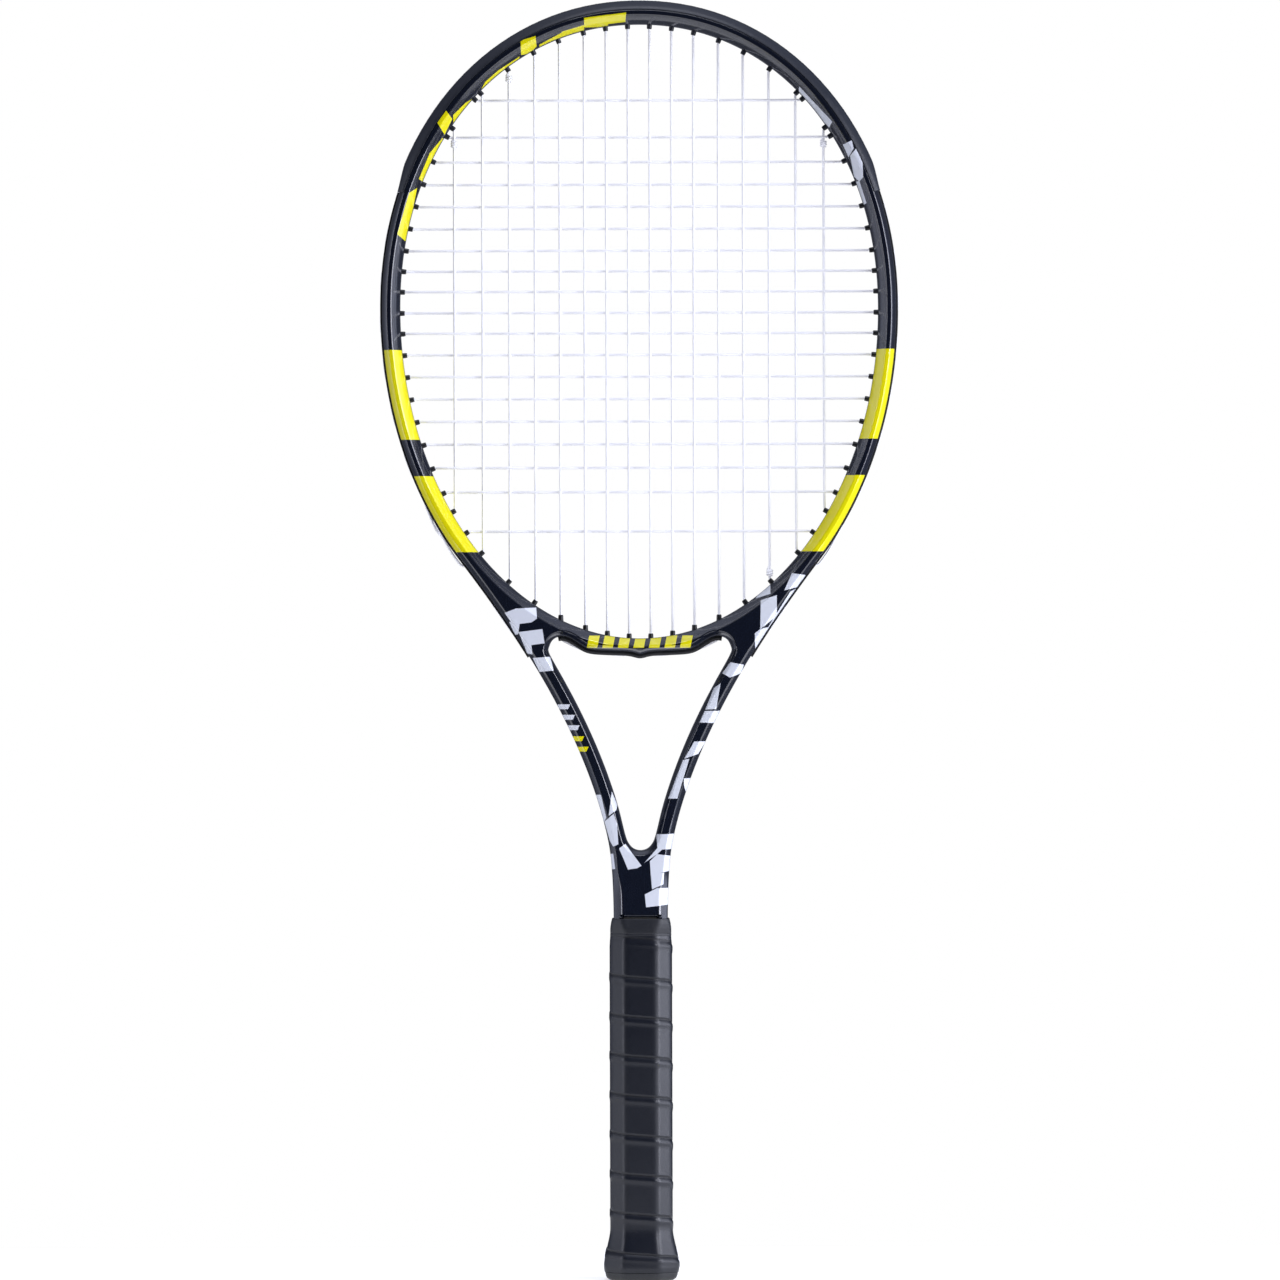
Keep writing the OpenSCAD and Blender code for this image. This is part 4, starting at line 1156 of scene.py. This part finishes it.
@dataclass
class Grommets:
    """The bumper guard, the two side strips and the bridge strip, with their barrels."""

    plan: StringPlan
    barrel_r: float = 1.35
    bore_r: float = 0.9
    strip_floor: float = 4.7
    rim_u: float = 5.9
    bumper_u: float = 7.8
    split: float = 22.0
    strip_end: float = 1 / 3

    def barrel(self, tip: Array, out: Array, length: float) -> Shell:
        """A barrel: a round-tipped tube spun about its own line, with its bore.

        Args:
            tip: the tip's (x, z).
            out: the direction from the tip to the outside of the hoop.
            length: its length.
        Returns:
            The shell.
        """
        r, b = self.barrel_r, self.bore_r
        profile = np.array([(length, b), (0.8, b), (0.25, b + 0.12), (0.0, b + 0.28), (0.18, r - 0.12),
                            (0.7, r), (2.6, r + 0.06), (4.0, r + 0.2), (length, r + 0.2)])
        a = np.linspace(0, 2 * np.pi, 14, endpoint=False)
        way, radius = profile[:, :1], profile[:, 1:]
        side = radius * np.cos(a)
        grid = np.stack([tip[0] + way * out[0] - side * out[1], radius * np.sin(a),
                         tip[1] + way * out[1] + side * out[0]], -1)
        return outward(grid_shell(grid, closed=True))

    def barrels(self, angles: Array) -> list[Shell]:
        """Barrels square to the hoop at given angles, right-hand side."""
        s = self.plan.line.hoop(angles)
        tips = s.at(self.plan.tip)
        made = []
        for i, angle in enumerate(angles):
            reach = self.plan.floor - self.plan.tip
            if angle < self.plan.line.leave:
                reach = float(np.linalg.norm(self.plan.shaft_exit(angle, self.plan.floor) - tips[i]))
            made.append(self.barrel(tips[i], np.array([s.out_x[i], s.out_z[i]]), reach + 0.3))
        return made

    def strip_section(self) -> Array:
        """The side strip's section: a base in the channel and two rims beside the strings."""
        half = [(self.strip_floor, 0.0), (self.strip_floor, 1.1), (self.rim_u, 1.45), (self.rim_u, 3.2),
                (3.7, 3.2), (3.7, 0.0)]
        points = np.array(half + [(u, -v) for u, v in half[-2:0:-1]])
        return rounded(points, 0.28, 3)

    def bumper_section(self) -> Array:
        """The bumper guard's section: a thick band over the hoop with lips down its bevels."""
        half = [(self.strip_floor, 0.0), (self.strip_floor, 1.2), (6.6, 1.9), (self.bumper_u, 2.4),
                (self.bumper_u - 0.1, 5.6), (6.3, 8.6), (4.3, 11.2), (2.7, 12.1), (2.4, 11.9), (4.8, 7.5),
                (4.85, 4.1), (3.7, 3.2), (3.7, 0.0)]
        points = np.array(half + [(u, -v) for u, v in half[-2:0:-1]])
        ease = [0.2, 0.3, 0.6, 0.9, 2.4, 2.6, 1.6, 0.4, 0.2, 0.5, 0.3, 0.3, 0.2]
        return rounded(points, np.array(ease + ease[-2:0:-1]), 4)

    def bumper(self) -> Shell:
        """The bumper guard over the top of the head, thinner towards its two ends."""
        turn = np.linspace(self.split, 180 - self.split, 420)
        s = self.plan.line.hoop(np.minimum(turn, 180 - turn))
        side = np.where(turn > 90, -1.0, 1.0)
        line = Stations(side * s.x, s.z, side * s.out_x, s.out_z)
        way = np.minimum(turn, 180 - turn) - self.split
        thick = smooth_step(way, -0.6, 6.5)[:, None]
        section = np.broadcast_to(self.bumper_section(), (len(turn),) + self.bumper_section().shape).copy()
        over = np.clip(section[..., 0] - self.rim_u + 0.5, 0, None)
        section[..., 0] -= over * (1 - thick) * 0.75
        rib = 0.10 * np.sin((turn[:, None] - 90) * 4.2) ** 8
        section[..., 0] += rib * smooth_step(section[..., 0], self.bumper_u - 0.8, self.bumper_u) * thick
        top, ends = self.plan.top(), self.plan.ends()
        half = self.barrels(np.concatenate([top, ends[ends > self.split]]))
        return joined([line.swept(section)] + half + [b.mirrored() for b in half])

    def side(self) -> Shell:
        """The right-hand strip, from the bumper guard down on to the shaft."""
        line = self.plan.line.side(self.split - 0.1, self.strip_end, 1.2)
        ends, low = self.plan.ends(), self.plan.low()
        spots = np.concatenate([ends[ends <= self.split], low[self.plan.bridge_mains:]])
        return joined([line.swept(self.strip_section())] + self.barrels(spots))

    def bridge(self, throat: Array) -> Shell:
        """The bridge strip: a thin plate under the bridge, with eight barrels through it.

        Args:
            throat: the throat's opening, as (n, 2).
        Returns:
            The shell.
        """
        under = throat[(np.abs(throat[:, 0]) < 44.5) & (throat[:, 1] > 330)]
        under = under[np.argsort(under[:, 0])]
        even = softened(resampled(under, 0.8), 1.0, 0.8)
        slope = np.gradient(even, axis=0)
        slope /= np.linalg.norm(slope, axis=1, keepdims=True)
        line = Stations(even[:, 0], even[:, 1], slope[:, 1], -slope[:, 0])
        half = [(-0.3, 0.0), (-0.3, 3.3), (1.1, 3.3), (2.3, 2.8), (2.3, 1.6), (0.9, 1.1), (0.9, 0.0)]
        section = rounded(np.array(half + [(u, -v) for u, v in half[-2:0:-1]]), 0.3, 3)
        angles = self.plan.low()[:self.plan.bridge_mains]
        s = self.plan.line.hoop(angles)
        tips = s.at(self.plan.tip)
        low = np.interp(np.array(self.plan.mains[:self.plan.bridge_mains]), even[:, 0], even[:, 1])
        half_set = [self.barrel(np.array([x, tip[1]]), np.array([0.0, -1.0]), float(tip[1] - z + 0.8))
                    for x, tip, z in zip(self.plan.mains, tips, low)]
        return joined([line.swept(section)] + half_set + [b.mirrored() for b in half_set])

    def build(self, finish: "bpy.types.Material", guard: "bpy.types.Material", throat: Array) -> None:
        """Makes the four pieces."""
        side = self.side()
        make_object("bumper_band", self.bumper(), guard, Body.RACKET, ("bumper_guard",))
        make_object("side_strip_right", side, finish, Body.RACKET, ("grommet_strip_right",))
        make_object("side_strip_left", side.mirrored(), finish, Body.RACKET, ("grommet_strip_left",))
        make_object("bridge_strip", self.bridge(throat), finish, Body.RACKET, ("grommet_strip_bridge",))


@dataclass
class StringBed:
    """The woven strings: sixteen mains, nineteen crosses, their turns outside and their knots."""

    plan: StringPlan
    spacing: float = 1.5
    sides: int = 8
    main_wave: float = 0.52
    cross_wave: float = 0.86
    bend: float = 0.9
    lift: float = 1.6
    knot_turns: float = 2.6
    knot_r: float = 1.3
    knot_height: float = 3.3
    tie_r: float = 0.58
    knot_drop: float = 4.0

    def exit(self, angle: float, u: float | None = None) -> Array:
        """The (x, z) where a string comes out at a barrel's outer end."""
        u = self.plan.string_u if u is None else u
        if angle < self.plan.line.leave:
            return self.plan.shaft_exit(angle, u)
        return self.plan.line.hoop(np.array([angle])).at(u)[0]

    def mouth(self, angle: float) -> Array:
        """The (x, z) where a string bends into a barrel, just inside its tip."""
        return self.plan.line.hoop(np.array([angle])).at(self.plan.tip + 0.4)[0]

    def rail(self, a: Array, b: Array) -> Array:
        """The way along the strip's groove from one exit to another, right-hand side.

        Args:
            a: the first exit (x, z).
            b: the second.
        Returns:
            Points of shape (n, 2), from a to b.
        """
        line = self.plan.line.side(90, 0.5, 1.0).at(self.plan.string_u)
        i, j = [int(np.argmin(np.sum((line - p) ** 2, 1))) for p in (a, b)]
        between = line[min(i, j) + 2:max(i, j) - 1:2]
        return between if i < j else between[::-1]

    @staticmethod
    def flat(points: Array, y: float = 0.0) -> Array:
        """Points of the string plane in space, at a given Y."""
        points = np.atleast_2d(points)
        return np.stack([points[:, 0], np.full(len(points), y), points[:, 1]], 1)

    def over(self, points: Array, share: Array, aside: float) -> Array:
        """A turn lifted off the groove where it passes another string.

        Args:
            points: the turn's (x, z) points.
            share: how far each is lifted, from 0 to 1.
            aside: how far each is moved in Y at most.
        Returns:
            Points in space.
        """
        middle = np.array([0.0, self.plan.line.widest_z])
        out = points - middle
        out /= np.linalg.norm(out, axis=1, keepdims=True)
        raised = points + out * (self.lift * share)[:, None]
        return np.stack([raised[:, 0], aside * np.sin(np.pi * share), raised[:, 1]], 1)

    def bridge_exit(self, i: int, throat: Array) -> Array:
        """The (x, z) under the bridge strip where a main string comes out."""
        x = self.plan.mains[i]
        under = throat[(np.abs(throat[:, 0]) < 46) & (throat[:, 1] > 330)]
        under = under[np.argsort(under[:, 0])]
        return np.array([x, np.interp(x, under[:, 0], under[:, 1]) - 0.9 - self.plan.string_r])

    def main_route(self, throat: Array) -> Array:
        """The whole main string: up and down each side, starting from the middle."""
        top, low = self.plan.top(), self.plan.low()
        plan = self.plan
        half: list[Array] = []
        count = len(plan.mains)
        for i, x in enumerate(plan.mains):
            a, b = self.mouth(top[i]), self.mouth(low[i])
            if i < plan.bridge_mains:
                b = np.array([x, b[1]])
            n = 60
            way = np.linspace(0, 1, n)[:, None]
            straight = a + (b - a) * way
            phase = np.interp(straight[:, 1], plan.line.widest_z + np.array(plan.crosses)[::-1],
                              np.arange(len(plan.crosses))[::-1])
            wave = self.main_wave * np.cos(np.pi * (phase + i + 1))
            wave *= smooth_step(np.minimum(way[:, 0], 1 - way[:, 0]), 0.0, 0.05)
            run = np.stack([straight[:, 0], wave, straight[:, 1]], 1)
            start = self.flat(self.exit(top[i], plan.floor if i == count - 1 else None))
            end = self.flat(self.bridge_exit(i, throat) if i < plan.bridge_mains else self.exit(low[i]))
            run = np.vstack([start, run, end])
            if i % 2 == 1:
                run = run[::-1]
            half.append(run)
            if i == count - 1:
                continue
            if i % 2 == 0:
                if i + 1 < plan.bridge_mains:
                    p, q = self.bridge_exit(i, throat), self.bridge_exit(i + 1, throat)
                    dip = (p + q) / 2 - [0, 0.35]
                    half.append(self.flat(np.array([dip])))
                else:
                    rail = self.rail(self.exit(low[i]), self.exit(low[i + 1]))
                    if i + 1 == count - 1:
                        share = np.clip(np.linspace(1.6, 0.0, len(rail)), 0, 1)
                        half.append(self.over(rail, share, -1.1))
                    else:
                        half.append(self.flat(rail))
            else:
                half.append(self.flat(self.rail(self.exit(top[i]), self.exit(top[i + 1]))))
        right = np.vstack(half)
        crown = self.flat(plan.line.hoop(np.array([90.0])).at(plan.string_u + 0.1))
        return np.vstack([(right * [-1, 1, 1])[::-1], crown, right])

    def cross_route(self) -> Array:
        """The whole cross string, from the top down, side to side."""
        plan = self.plan
        ends = plan.ends()
        low = plan.low()
        mains = np.array([-x for x in plan.mains[::-1]] + list(plan.mains))
        rows: list[Array] = []
        last = len(plan.crosses) - 1
        for k, angle in enumerate(ends):
            out, into = self.exit(angle), self.mouth(angle)
            x = np.linspace(-into[0], into[0], 150)
            phase = np.interp(x, mains, np.arange(len(mains)))
            wave = self.cross_wave * np.cos(np.pi * (phase + k + 1))
            wave *= smooth_step(into[0] - np.abs(x), 0, 5)
            run = np.stack([x, wave, np.full(len(x), into[1])], 1)
            first = self.exit(angle, plan.floor) if k == 0 else out
            final = self.exit(angle, plan.floor) if k == last else out
            row = np.vstack([self.flat(first * [-1, 1]), run, self.flat(final)])
            rows.append(row if k % 2 == 0 else row[::-1])
            if k < last:
                rail = self.rail(out, self.exit(ends[k + 1]))
                if k == last - 1:
                    share = np.clip(np.linspace(0.2, 1.8, len(rail)), 0, 1) * smooth_step(
                        np.linspace(1, 0, len(rail)), 0.0, 0.35)
                    turn = self.over(rail, share, 1.1)
                else:
                    turn = self.flat(rail)
                rows.append(turn if k % 2 == 0 else turn * [-1, 1, 1])
        return np.vstack(rows)

    def strand(self, route: Array) -> Shell:
        """A string along a route whose corners are eased."""
        even = resampled(route, self.spacing)
        eased = softened(even, self.bend, self.spacing)
        return tube(eased, self.plan.string_r, self.sides)

    def knot(self, x: float, z: float) -> Shell:
        """A tie-off: a string wound round a main, its end tucked upwards."""
        t = np.linspace(0, 1, 84)
        a = 2 * np.pi * self.knot_turns * t
        r = self.knot_r * smooth_step(t, -0.15, 0.08) * smooth_step(1 - t, -0.15, 0.08)
        coil = np.stack([x + r * np.cos(a), r * np.sin(a), z + (t - 0.5) * self.knot_height], 1)
        tail = coil[-1] + np.outer(np.linspace(0.2, 1, 5), [0.3, 0.9, 1.5])
        return tube(np.vstack([coil, tail]), self.tie_r, 10)

    def build(self, finish: "bpy.types.Material", throat: Array) -> None:
        """Makes the two strings and the knots."""
        make_object("mains", outward(self.strand(self.main_route(throat))), finish, Body.RACKET,
                    ("main_strings",))
        make_object("crosses", outward(self.strand(self.cross_route())), finish, Body.RACKET,
                    ("cross_strings",))
        top, low = self.plan.top(), self.plan.low()
        tie = len(self.plan.mains) - 3
        drop = self.knot_drop
        spots = [(s * self.mouth(top[-1])[0], self.mouth(top[-1])[1] - 2 * drop) for s in (-1, 1)]
        spots.append((-self.mouth(top[tie])[0], self.mouth(top[tie])[1] - drop))
        spots.append((self.mouth(low[tie])[0], self.mouth(low[tie])[1] + drop))
        make_object("knots", outward(joined([self.knot(x, z) for x, z in spots])), finish, Body.RACKET,
                    ("string_knots",))


# ---------- the handle ----------


@dataclass
class Octagon:
    """The bare handle's eight-sided section, and rings that stand off it."""

    half_w: float = 14.35
    half_d: float = 12.75
    face: float = 7.3
    side: float = 6.1
    spread: float = 0.415
    along: int = 9

    def rings(self, grow: Array, z: Array, radius: float = 2.4, wide: Array | float = 0.0) -> Array:
        """Rings of an octagon with eased corners.

        Each ring's corners stand off the bare handle by its growth; its straight sides are
        divided evenly.

        Args:
            grow: how far each ring stands off, of shape (rings,).
            z: each ring's height.
            radius: reach of the eased corners.
            wide: how much wider the flats are than the handle's own.
        Returns:
            Points of shape (rings, points, 3), from the front face round by the right.
        """
        grow, z = np.broadcast_arrays(np.asarray(grow, float), np.asarray(z, float))
        w, d = self.half_w + grow, self.half_d + grow
        f, s = self.face + self.spread * grow + wide, self.side + self.spread * grow + wide
        corners = np.stack([np.stack(p, -1) for p in (
            (f, -d), (w, -s), (w, s), (f, d), (-f, d), (-w, s), (-w, -s), (-f, -d))], -2)
        ring = rounded(corners, radius, 4)
        shape = ring.reshape(ring.shape[0], 8, 5, 2)
        end, start = shape[:, :, -1], np.roll(shape[:, :, 0], -1, 1)
        t = np.linspace(0, 1, self.along + 1)[1:-1]
        flat = end[:, :, None] + (start - end)[:, :, None] * t[:, None]
        ring = np.concatenate([shape, flat], 2).reshape(len(grow), -1, 2)
        return np.concatenate([ring, np.broadcast_to(z[:, None, None], ring.shape[:2] + (1,))], 2)


def lathe(octagon: Octagon, profile: Array, radius: float = 2.4, wide: Array | float = 0.0,
          closed: bool = True) -> Shell:
    """A shell made of octagonal rings that follow a profile of (growth, height).

    Args:
        octagon: the section.
        profile: points of shape (n, 2).
        radius: reach of the eased corners.
        wide: extra width of the flats.
        closed: whether the profile is a loop.
    Returns:
        The shell.
    """
    rings = octagon.rings(profile[:, 0], profile[:, 1], radius, wide)
    return outward(grid_shell(rings, closed=closed))


@dataclass
class Grip:
    """The grip: a strip wound up the handle, each turn lapping the one below."""

    octagon: Octagon
    thickness: float = 2.0
    pitch: float = 21.1
    left_seam: float = 165.3
    bottom: float = 4.6
    top: float = 184.6
    flare_top: float = 25.0
    flare_low: float = 10.0
    flare: float = 3.5

    def body_growth(self, z: Array) -> Array:
        """How far the grip's outside stands off the bare handle at a height, before its seams."""
        flare = self.flare * (1 - smooth_step(z, self.flare_low - 3, self.flare_top + 3))
        rim = -0.35 * (1 - smooth_step(z, self.bottom, self.bottom + 2.5))
        neck = -0.45 * smooth_step(z, self.top - 6.5, self.top - 0.3)
        return self.thickness + 0.38 + flare + rim + neck

    def build(self, finish: "bpy.types.Material") -> None:
        """The outside follows the helix of seams; the inside lies on the handle."""
        z = np.arange(self.bottom, self.top + 0.01, 0.45)
        base = self.octagon.rings(np.zeros(1), np.zeros(1))[0, :, :2]
        unit = self.octagon.rings(np.ones(1), np.zeros(1))[0, :, :2] - base
        step = np.linalg.norm(np.roll(base, -1, 0) - base, axis=1)
        left = int(np.argmin(base[:, 0] + 1e-3 * np.abs(base[:, 1])))
        order = (np.arange(len(base)) + left) % len(base)
        turn = np.zeros(len(base))
        turn[order] = np.cumsum(step[order]) - step[order[0]]
        turn /= step.sum()
        fall = turn + 0.1 * (np.cos(2 * np.pi * turn) - 1)
        below = np.mod(self.left_seam - self.pitch * fall[None, :] - z[:, None], self.pitch)
        lap = 0.62 * (1 - np.exp(-below / 0.9)) + 0.36 * np.exp(-((below - 2.6) / 1.7) ** 2)
        hem = 0.62 * smooth_step(self.pitch - below, 0.0, 0.7) + 0.12 * np.exp(
            -((self.pitch - below - 1.2) / 1.0) ** 2)
        relief = np.minimum(lap, lap - 0.62 + hem) - 0.62
        fade = smooth_step(self.top - z, 1.5, 6)[:, None]
        grow = self.body_growth(z)[:, None] + relief * (0.35 + 0.65 * fade)
        outer = base[None] + grow[..., None] * unit[None]
        outer = np.concatenate([outer, np.broadcast_to(z[:, None, None], outer.shape[:2] + (1,))], 2)
        inner_z = np.array([self.top, self.flare_top + 6, self.flare_low, self.bottom])
        inner = self.octagon.rings(np.array([0.15, 0.15, self.flare + 0.1, self.flare + 0.1]), inner_z)
        shell = outward(grid_shell(np.concatenate([outer, inner]), closed=True))
        piece = make_object("grip_winding", shell, finish, Body.RACKET, ("grip_wrap",))
        # Where the creases lie; the leatherette darkens them as painted shade.
        crease = np.exp(-(np.minimum(below, self.pitch - below) / 0.55) ** 2)
        values = np.concatenate([crease.ravel(), np.zeros(inner.shape[0] * inner.shape[1])])
        mark = piece.data.attributes.new("crease", "FLOAT", "POINT")
        mark.data.foreach_set("value", values.astype(np.float32))


@dataclass
class ButtEnd:
    """The butt cap and its door."""

    octagon: Octagon
    rim: float = 5.2
    inset: float = -4.5
    gap: float = 0.3
    low: float = 0.5
    thick: float = 1.6

    def cap(self) -> Shell:
        """The cap: rim, flare under the grip, skirt and floor, around the door's opening."""
        corners = np.array([(self.inset, 0.0), (-0.2, 0.0), (0.1, 0.45), (0.9, 0.45), (1.2, 0.0), (2.4, 0.0),
                            (self.rim - 0.6, 1.6), (self.rim, 4.5), (3.55, 4.55), (3.5, 9.6), (0.02, 25.0),
                            (0.0, 30.0), (-0.85, 30.0), (-0.85, 2.4), (self.inset, 2.4)])
        ease = np.array([0.4, 0.2, 0.2, 0.2, 0.2, 1.4, 1.6, 0.3, 0.2, 2.0, 3.0, 0.2, 0.2, 0.2, 0.2])
        return lathe(self.octagon, rounded(corners, ease, 4), 2.6)

    def door(self) -> Shell:
        """The door: a plate with a raised plain rim, a shallow dish and two snap tabs."""
        edge = self.inset - self.gap
        low, high = self.low, self.low + self.thick
        ring = self.octagon.rings(np.array([edge]), np.zeros(1), 1.8)[0]
        shares = np.array([0.0, 0.45, 0.5, 0.56, 0.84, 0.88, 0.95, 0.99, 1.0, 1.0, 0.99, 0.5, 0.0])
        heights = np.array([low + 0.35, low + 0.35, low + 0.3, low + 0.12, low + 0.12, low, low, low + 0.06,
                            low + 0.2, high - 0.2, high, high, high])
        grid = np.stack([ring[None, :, 0] * (shares[:, None] + 1e-4),
                         ring[None, :, 1] * (shares[:, None] + 1e-4),
                         np.broadcast_to(heights[:, None], (len(shares), len(ring)))], -1)
        plate = outward(grid_shell(grid))
        tabs = []
        for side in (-1, 1):
            x = side * (self.octagon.half_w + edge - 1.6)
            section = np.array([(x - 0.6, -3.0), (x + 0.6, -3.0), (x + 0.6, 3.0), (x - 0.6, 3.0)])
            section = rounded(section, 0.35, 3)
            rows = [(high - 0.3, 0.0), (high + 1.6, 0.0), (high + 2.0, 0.35 * side),
                    (high + 2.5, 0.35 * side), (high + 3.0, 0.0)]
            grid = np.stack([np.column_stack([section + [lean, 0], np.full(len(section), z)])
                             for z, lean in rows])
            tabs.append(outward(grid_shell(grid)))
        return joined([plate] + tabs)

    def build(self, finish: "bpy.types.Material", door_finish: "bpy.types.Material") -> None:
        """Makes both pieces."""
        make_object("butt_cap_shell", self.cap(), finish, Body.RACKET, ("butt_cap",))
        make_object("butt_door", self.door(), door_finish, Body.DOOR, ("butt_cap_door",))


@dataclass
class Collar:
    """The rubber collar over the top of the grip."""

    octagon: Octagon
    low: float = 184.2
    high: float = 193.6
    bore: float = 1.3
    wall: float = 0.72

    def build(self, finish: "bpy.types.Material") -> None:
        """A loop of a profile round the handle: bead, two shallow grooves and a thin lip."""
        out = self.bore + self.wall
        corners = np.array([
            (self.bore, self.low), (out - 0.15, self.low), (out, self.low + 0.5), (out, self.low + 1.2),
            (out - 0.22, self.low + 1.5), (out, self.low + 1.8), (out - 0.05, self.low + 4.2),
            (1.62, self.high - 2.6), (1.15, self.high - 0.7), (0.95, self.high), (0.35, self.high),
            (0.35, self.high - 2.6), (self.bore, self.high - 3.4)])
        wide = np.interp(corners[:, 1], [186, 192], [0.0, 2.5])
        profile = rounded(np.column_stack([corners, wide]), 0.35, 3)
        shell = lathe(self.octagon, profile[:, :2], 2.2, profile[:, 2])
        make_object("collar_sleeve", shell, finish, Body.COLLAR, ("rubber_collar",))


# ---------- stage ----------


@dataclass
class Studio:
    """Floor, surroundings, lamps and camera."""

    frame_height: float = 0.6858
    distance: float = 5.0
    centre: float = 0.3426
    lean: float = 0.15
    sky: Colour = (0.74, 0.79, 1.0)
    lamp_colour: Colour = (0.86, 0.88, 1.0)
    lamps: tuple[tuple[str, Colour, tuple[float, float], float], ...] = (
        ("softbox_right", (1.5, -0.35, 0.5), (0.35, 1.4), 22.0),
        ("softbox_left", (-1.6, -0.45, 0.45), (0.3, 1.3), 8.0),
        ("softbox_front", (1.6, -1.45, 0.75), (0.6, 0.9), 19.0),
        ("softbox_top", (0.1, -0.5, 1.9), (1.0, 0.5), 9.0),
    )

    def world(self) -> None:
        """White to the camera; as a light it is bright at the sides and behind, dark in front."""
        graph = Graph(bpy.data.worlds.new("studio"))
        bpy.context.scene.world = graph.holder
        split = graph.add("ShaderNodeSeparateXYZ", None, {0: Value(graph, graph.place.outputs["Generated"])})
        x, y, z = [Value(graph, s) for s in split.outputs]
        away = y.ramp(-0.2, 0.1)
        right = x.ramp(0.89, 0.98) * away
        left = (x * -1.0).ramp(0.76, 0.96) * away
        top = z.ramp(0.5, 0.95)
        under = (z * -1.0).ramp(0.4, 0.9)
        level = right * 2.1 + left * 0.8 + top * 0.6 + under * 0.1 + away * 0.08 + 0.03
        dim = graph.add("ShaderNodeBackground", None, {"Color": self.sky, "Strength": level})
        bright = graph.add("ShaderNodeBackground", None, {"Color": (1, 1, 1), "Strength": 1.0})
        ray = graph.add("ShaderNodeLightPath")
        both = graph.add("ShaderNodeMixShader", None, {0: Value(graph, ray.outputs["Is Camera Ray"]),
                                                       1: Value(graph, dim.outputs[0]),
                                                       2: Value(graph, bright.outputs[0])})
        output = graph.add("ShaderNodeOutputWorld")
        graph.tree.links.new(both.outputs[0], output.inputs[0])

    def lamp(self, name: str, place: Colour, size: tuple[float, float], power: float) -> None:
        """A soft box aimed at the racket's middle.

        Args:
            name: the lamp's name.
            place: where it stands, in metres.
            size: its width and height.
            power: its strength in watts.
        """
        data = bpy.data.lights.new(name, "AREA")
        data.shape = "RECTANGLE"
        data.size, data.size_y = size
        data.energy = power
        data.color = self.lamp_colour
        lamp = bpy.data.objects.new(name, data)
        lamp.location = place
        lamp.rotation_mode = "QUATERNION"
        lamp.rotation_quaternion = (Vector((0, 0, self.centre)) - Vector(place)).to_track_quat("-Z", "Y")
        bpy.context.scene.collection.objects.link(lamp)
        lamp.visible_camera = False

    def floor(self) -> None:
        """A pale floor that melts into the white surroundings."""
        grid = np.array([[(-700, -500, 0), (700, -500, 0)], [(-700, 260, 0), (700, 260, 0)]], float)
        mesh = bpy.data.meshes.new("floor")
        corners = grid.reshape(-1, 3) * MM
        mesh.from_pydata(corners.tolist(), [], [(0, 1, 3, 2)])
        g = Graph.of("pale_floor")
        tint = g.mix(g.noise(30, 2), (0.86, 0.86, 0.86), (0.84, 0.84, 0.845))
        mesh.materials.append(g.surface(Base_Color=tint, Roughness=0.9, Emission_Color=(1, 1, 1),
                                        Emission_Strength=0.62))
        floor = bpy.data.objects.new("floor", mesh)
        bpy.context.scene.collection.objects.link(floor)

    def camera(self) -> None:
        """A long lens straight in front of the string bed."""
        data = bpy.data.cameras.new("camera")
        data.sensor_width = 36.0
        data.lens = data.sensor_width * self.distance / self.frame_height
        data.clip_start, data.clip_end = 0.05, 60.0
        camera = bpy.data.objects.new("camera", data)
        camera.location = (0, -self.distance, self.centre)
        camera.rotation_euler = (math.radians(90), math.radians(self.lean), 0)
        bpy.context.scene.collection.objects.link(camera)
        bpy.context.scene.camera = camera

    def build(self) -> None:
        """Sets up everything around the racket."""
        self.world()
        self.floor()
        self.camera()
        for name, place, size, power in self.lamps:
            self.lamp(name, place, size, power)
        scene = bpy.context.scene
        scene.view_settings.view_transform = "Standard"
        scene.view_settings.look = "None"


def dress_cad_node(node: str, finish: "bpy.types.Material") -> None:
    """Gives a CAD node that stays its finish.

    Args:
        node: the node's name.
        finish: its material.
    """
    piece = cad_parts[node]
    piece.data.materials.clear()
    piece.data.materials.append(finish)
    LOG.info("%s: kept with %s", node, finish.name)


def main() -> None:
    """Builds the racket, piece by piece, then its surroundings."""
    logging.basicConfig(level=logging.INFO, format="%(name)s: %(message)s")
    line = HeadLine()
    plan = StringPlan(line)
    octagon = Octagon()
    painted = PaintedFrame(line)
    painted.build(Lacquer().material())
    foam = Foam("foam", (0.78, 0.74, 0.60), (0.55, 0.50, 0.36)).material()
    BridgeCore(line).build(foam)
    nylon = Moulded("grommet_nylon", (0.006, 0.0065, 0.008), (0.03, 0.03, 0.033), 0.42).material()
    guard = Moulded("bumper_nylon", (0.010, 0.0125, 0.020), (0.036, 0.040, 0.052), 0.42, 0.5, 0.04).material()
    throat = painted.throat_line()
    Grommets(plan).build(nylon, guard, throat)
    StringBed(plan).build(Cordage().material(), throat)
    Grip(octagon).build(Leatherette().material())
    cap = Moulded("cap_plastic", (0.008, 0.009, 0.012), (0.03, 0.03, 0.034), 0.48, 0.6, 0.05).material()
    door = Moulded("door_plastic", (0.012, 0.012, 0.014), (0.035, 0.035, 0.038), 0.4, 0.4, 0.03).material()
    ButtEnd(octagon).build(cap, door)
    rubber = Moulded("collar_rubber", (0.007, 0.0085, 0.013), (0.025, 0.025, 0.028), 0.5, 0.4, 0.02)
    Collar(octagon).build(rubber.material())
    tape = Moulded("finishing_tape", (0.010, 0.010, 0.011), (0.03, 0.03, 0.03), 0.35, 0.8, 0.015).material()
    dress_cad_node("finishing_tape", tape)
    dress_cad_node("cap_staples", Wire().material())
    for node in ("leg_plugs", "pallet_front", "pallet_back"):
        dress_cad_node(node, foam)
    Studio().build()


if __name__ == "__main__":
    main()
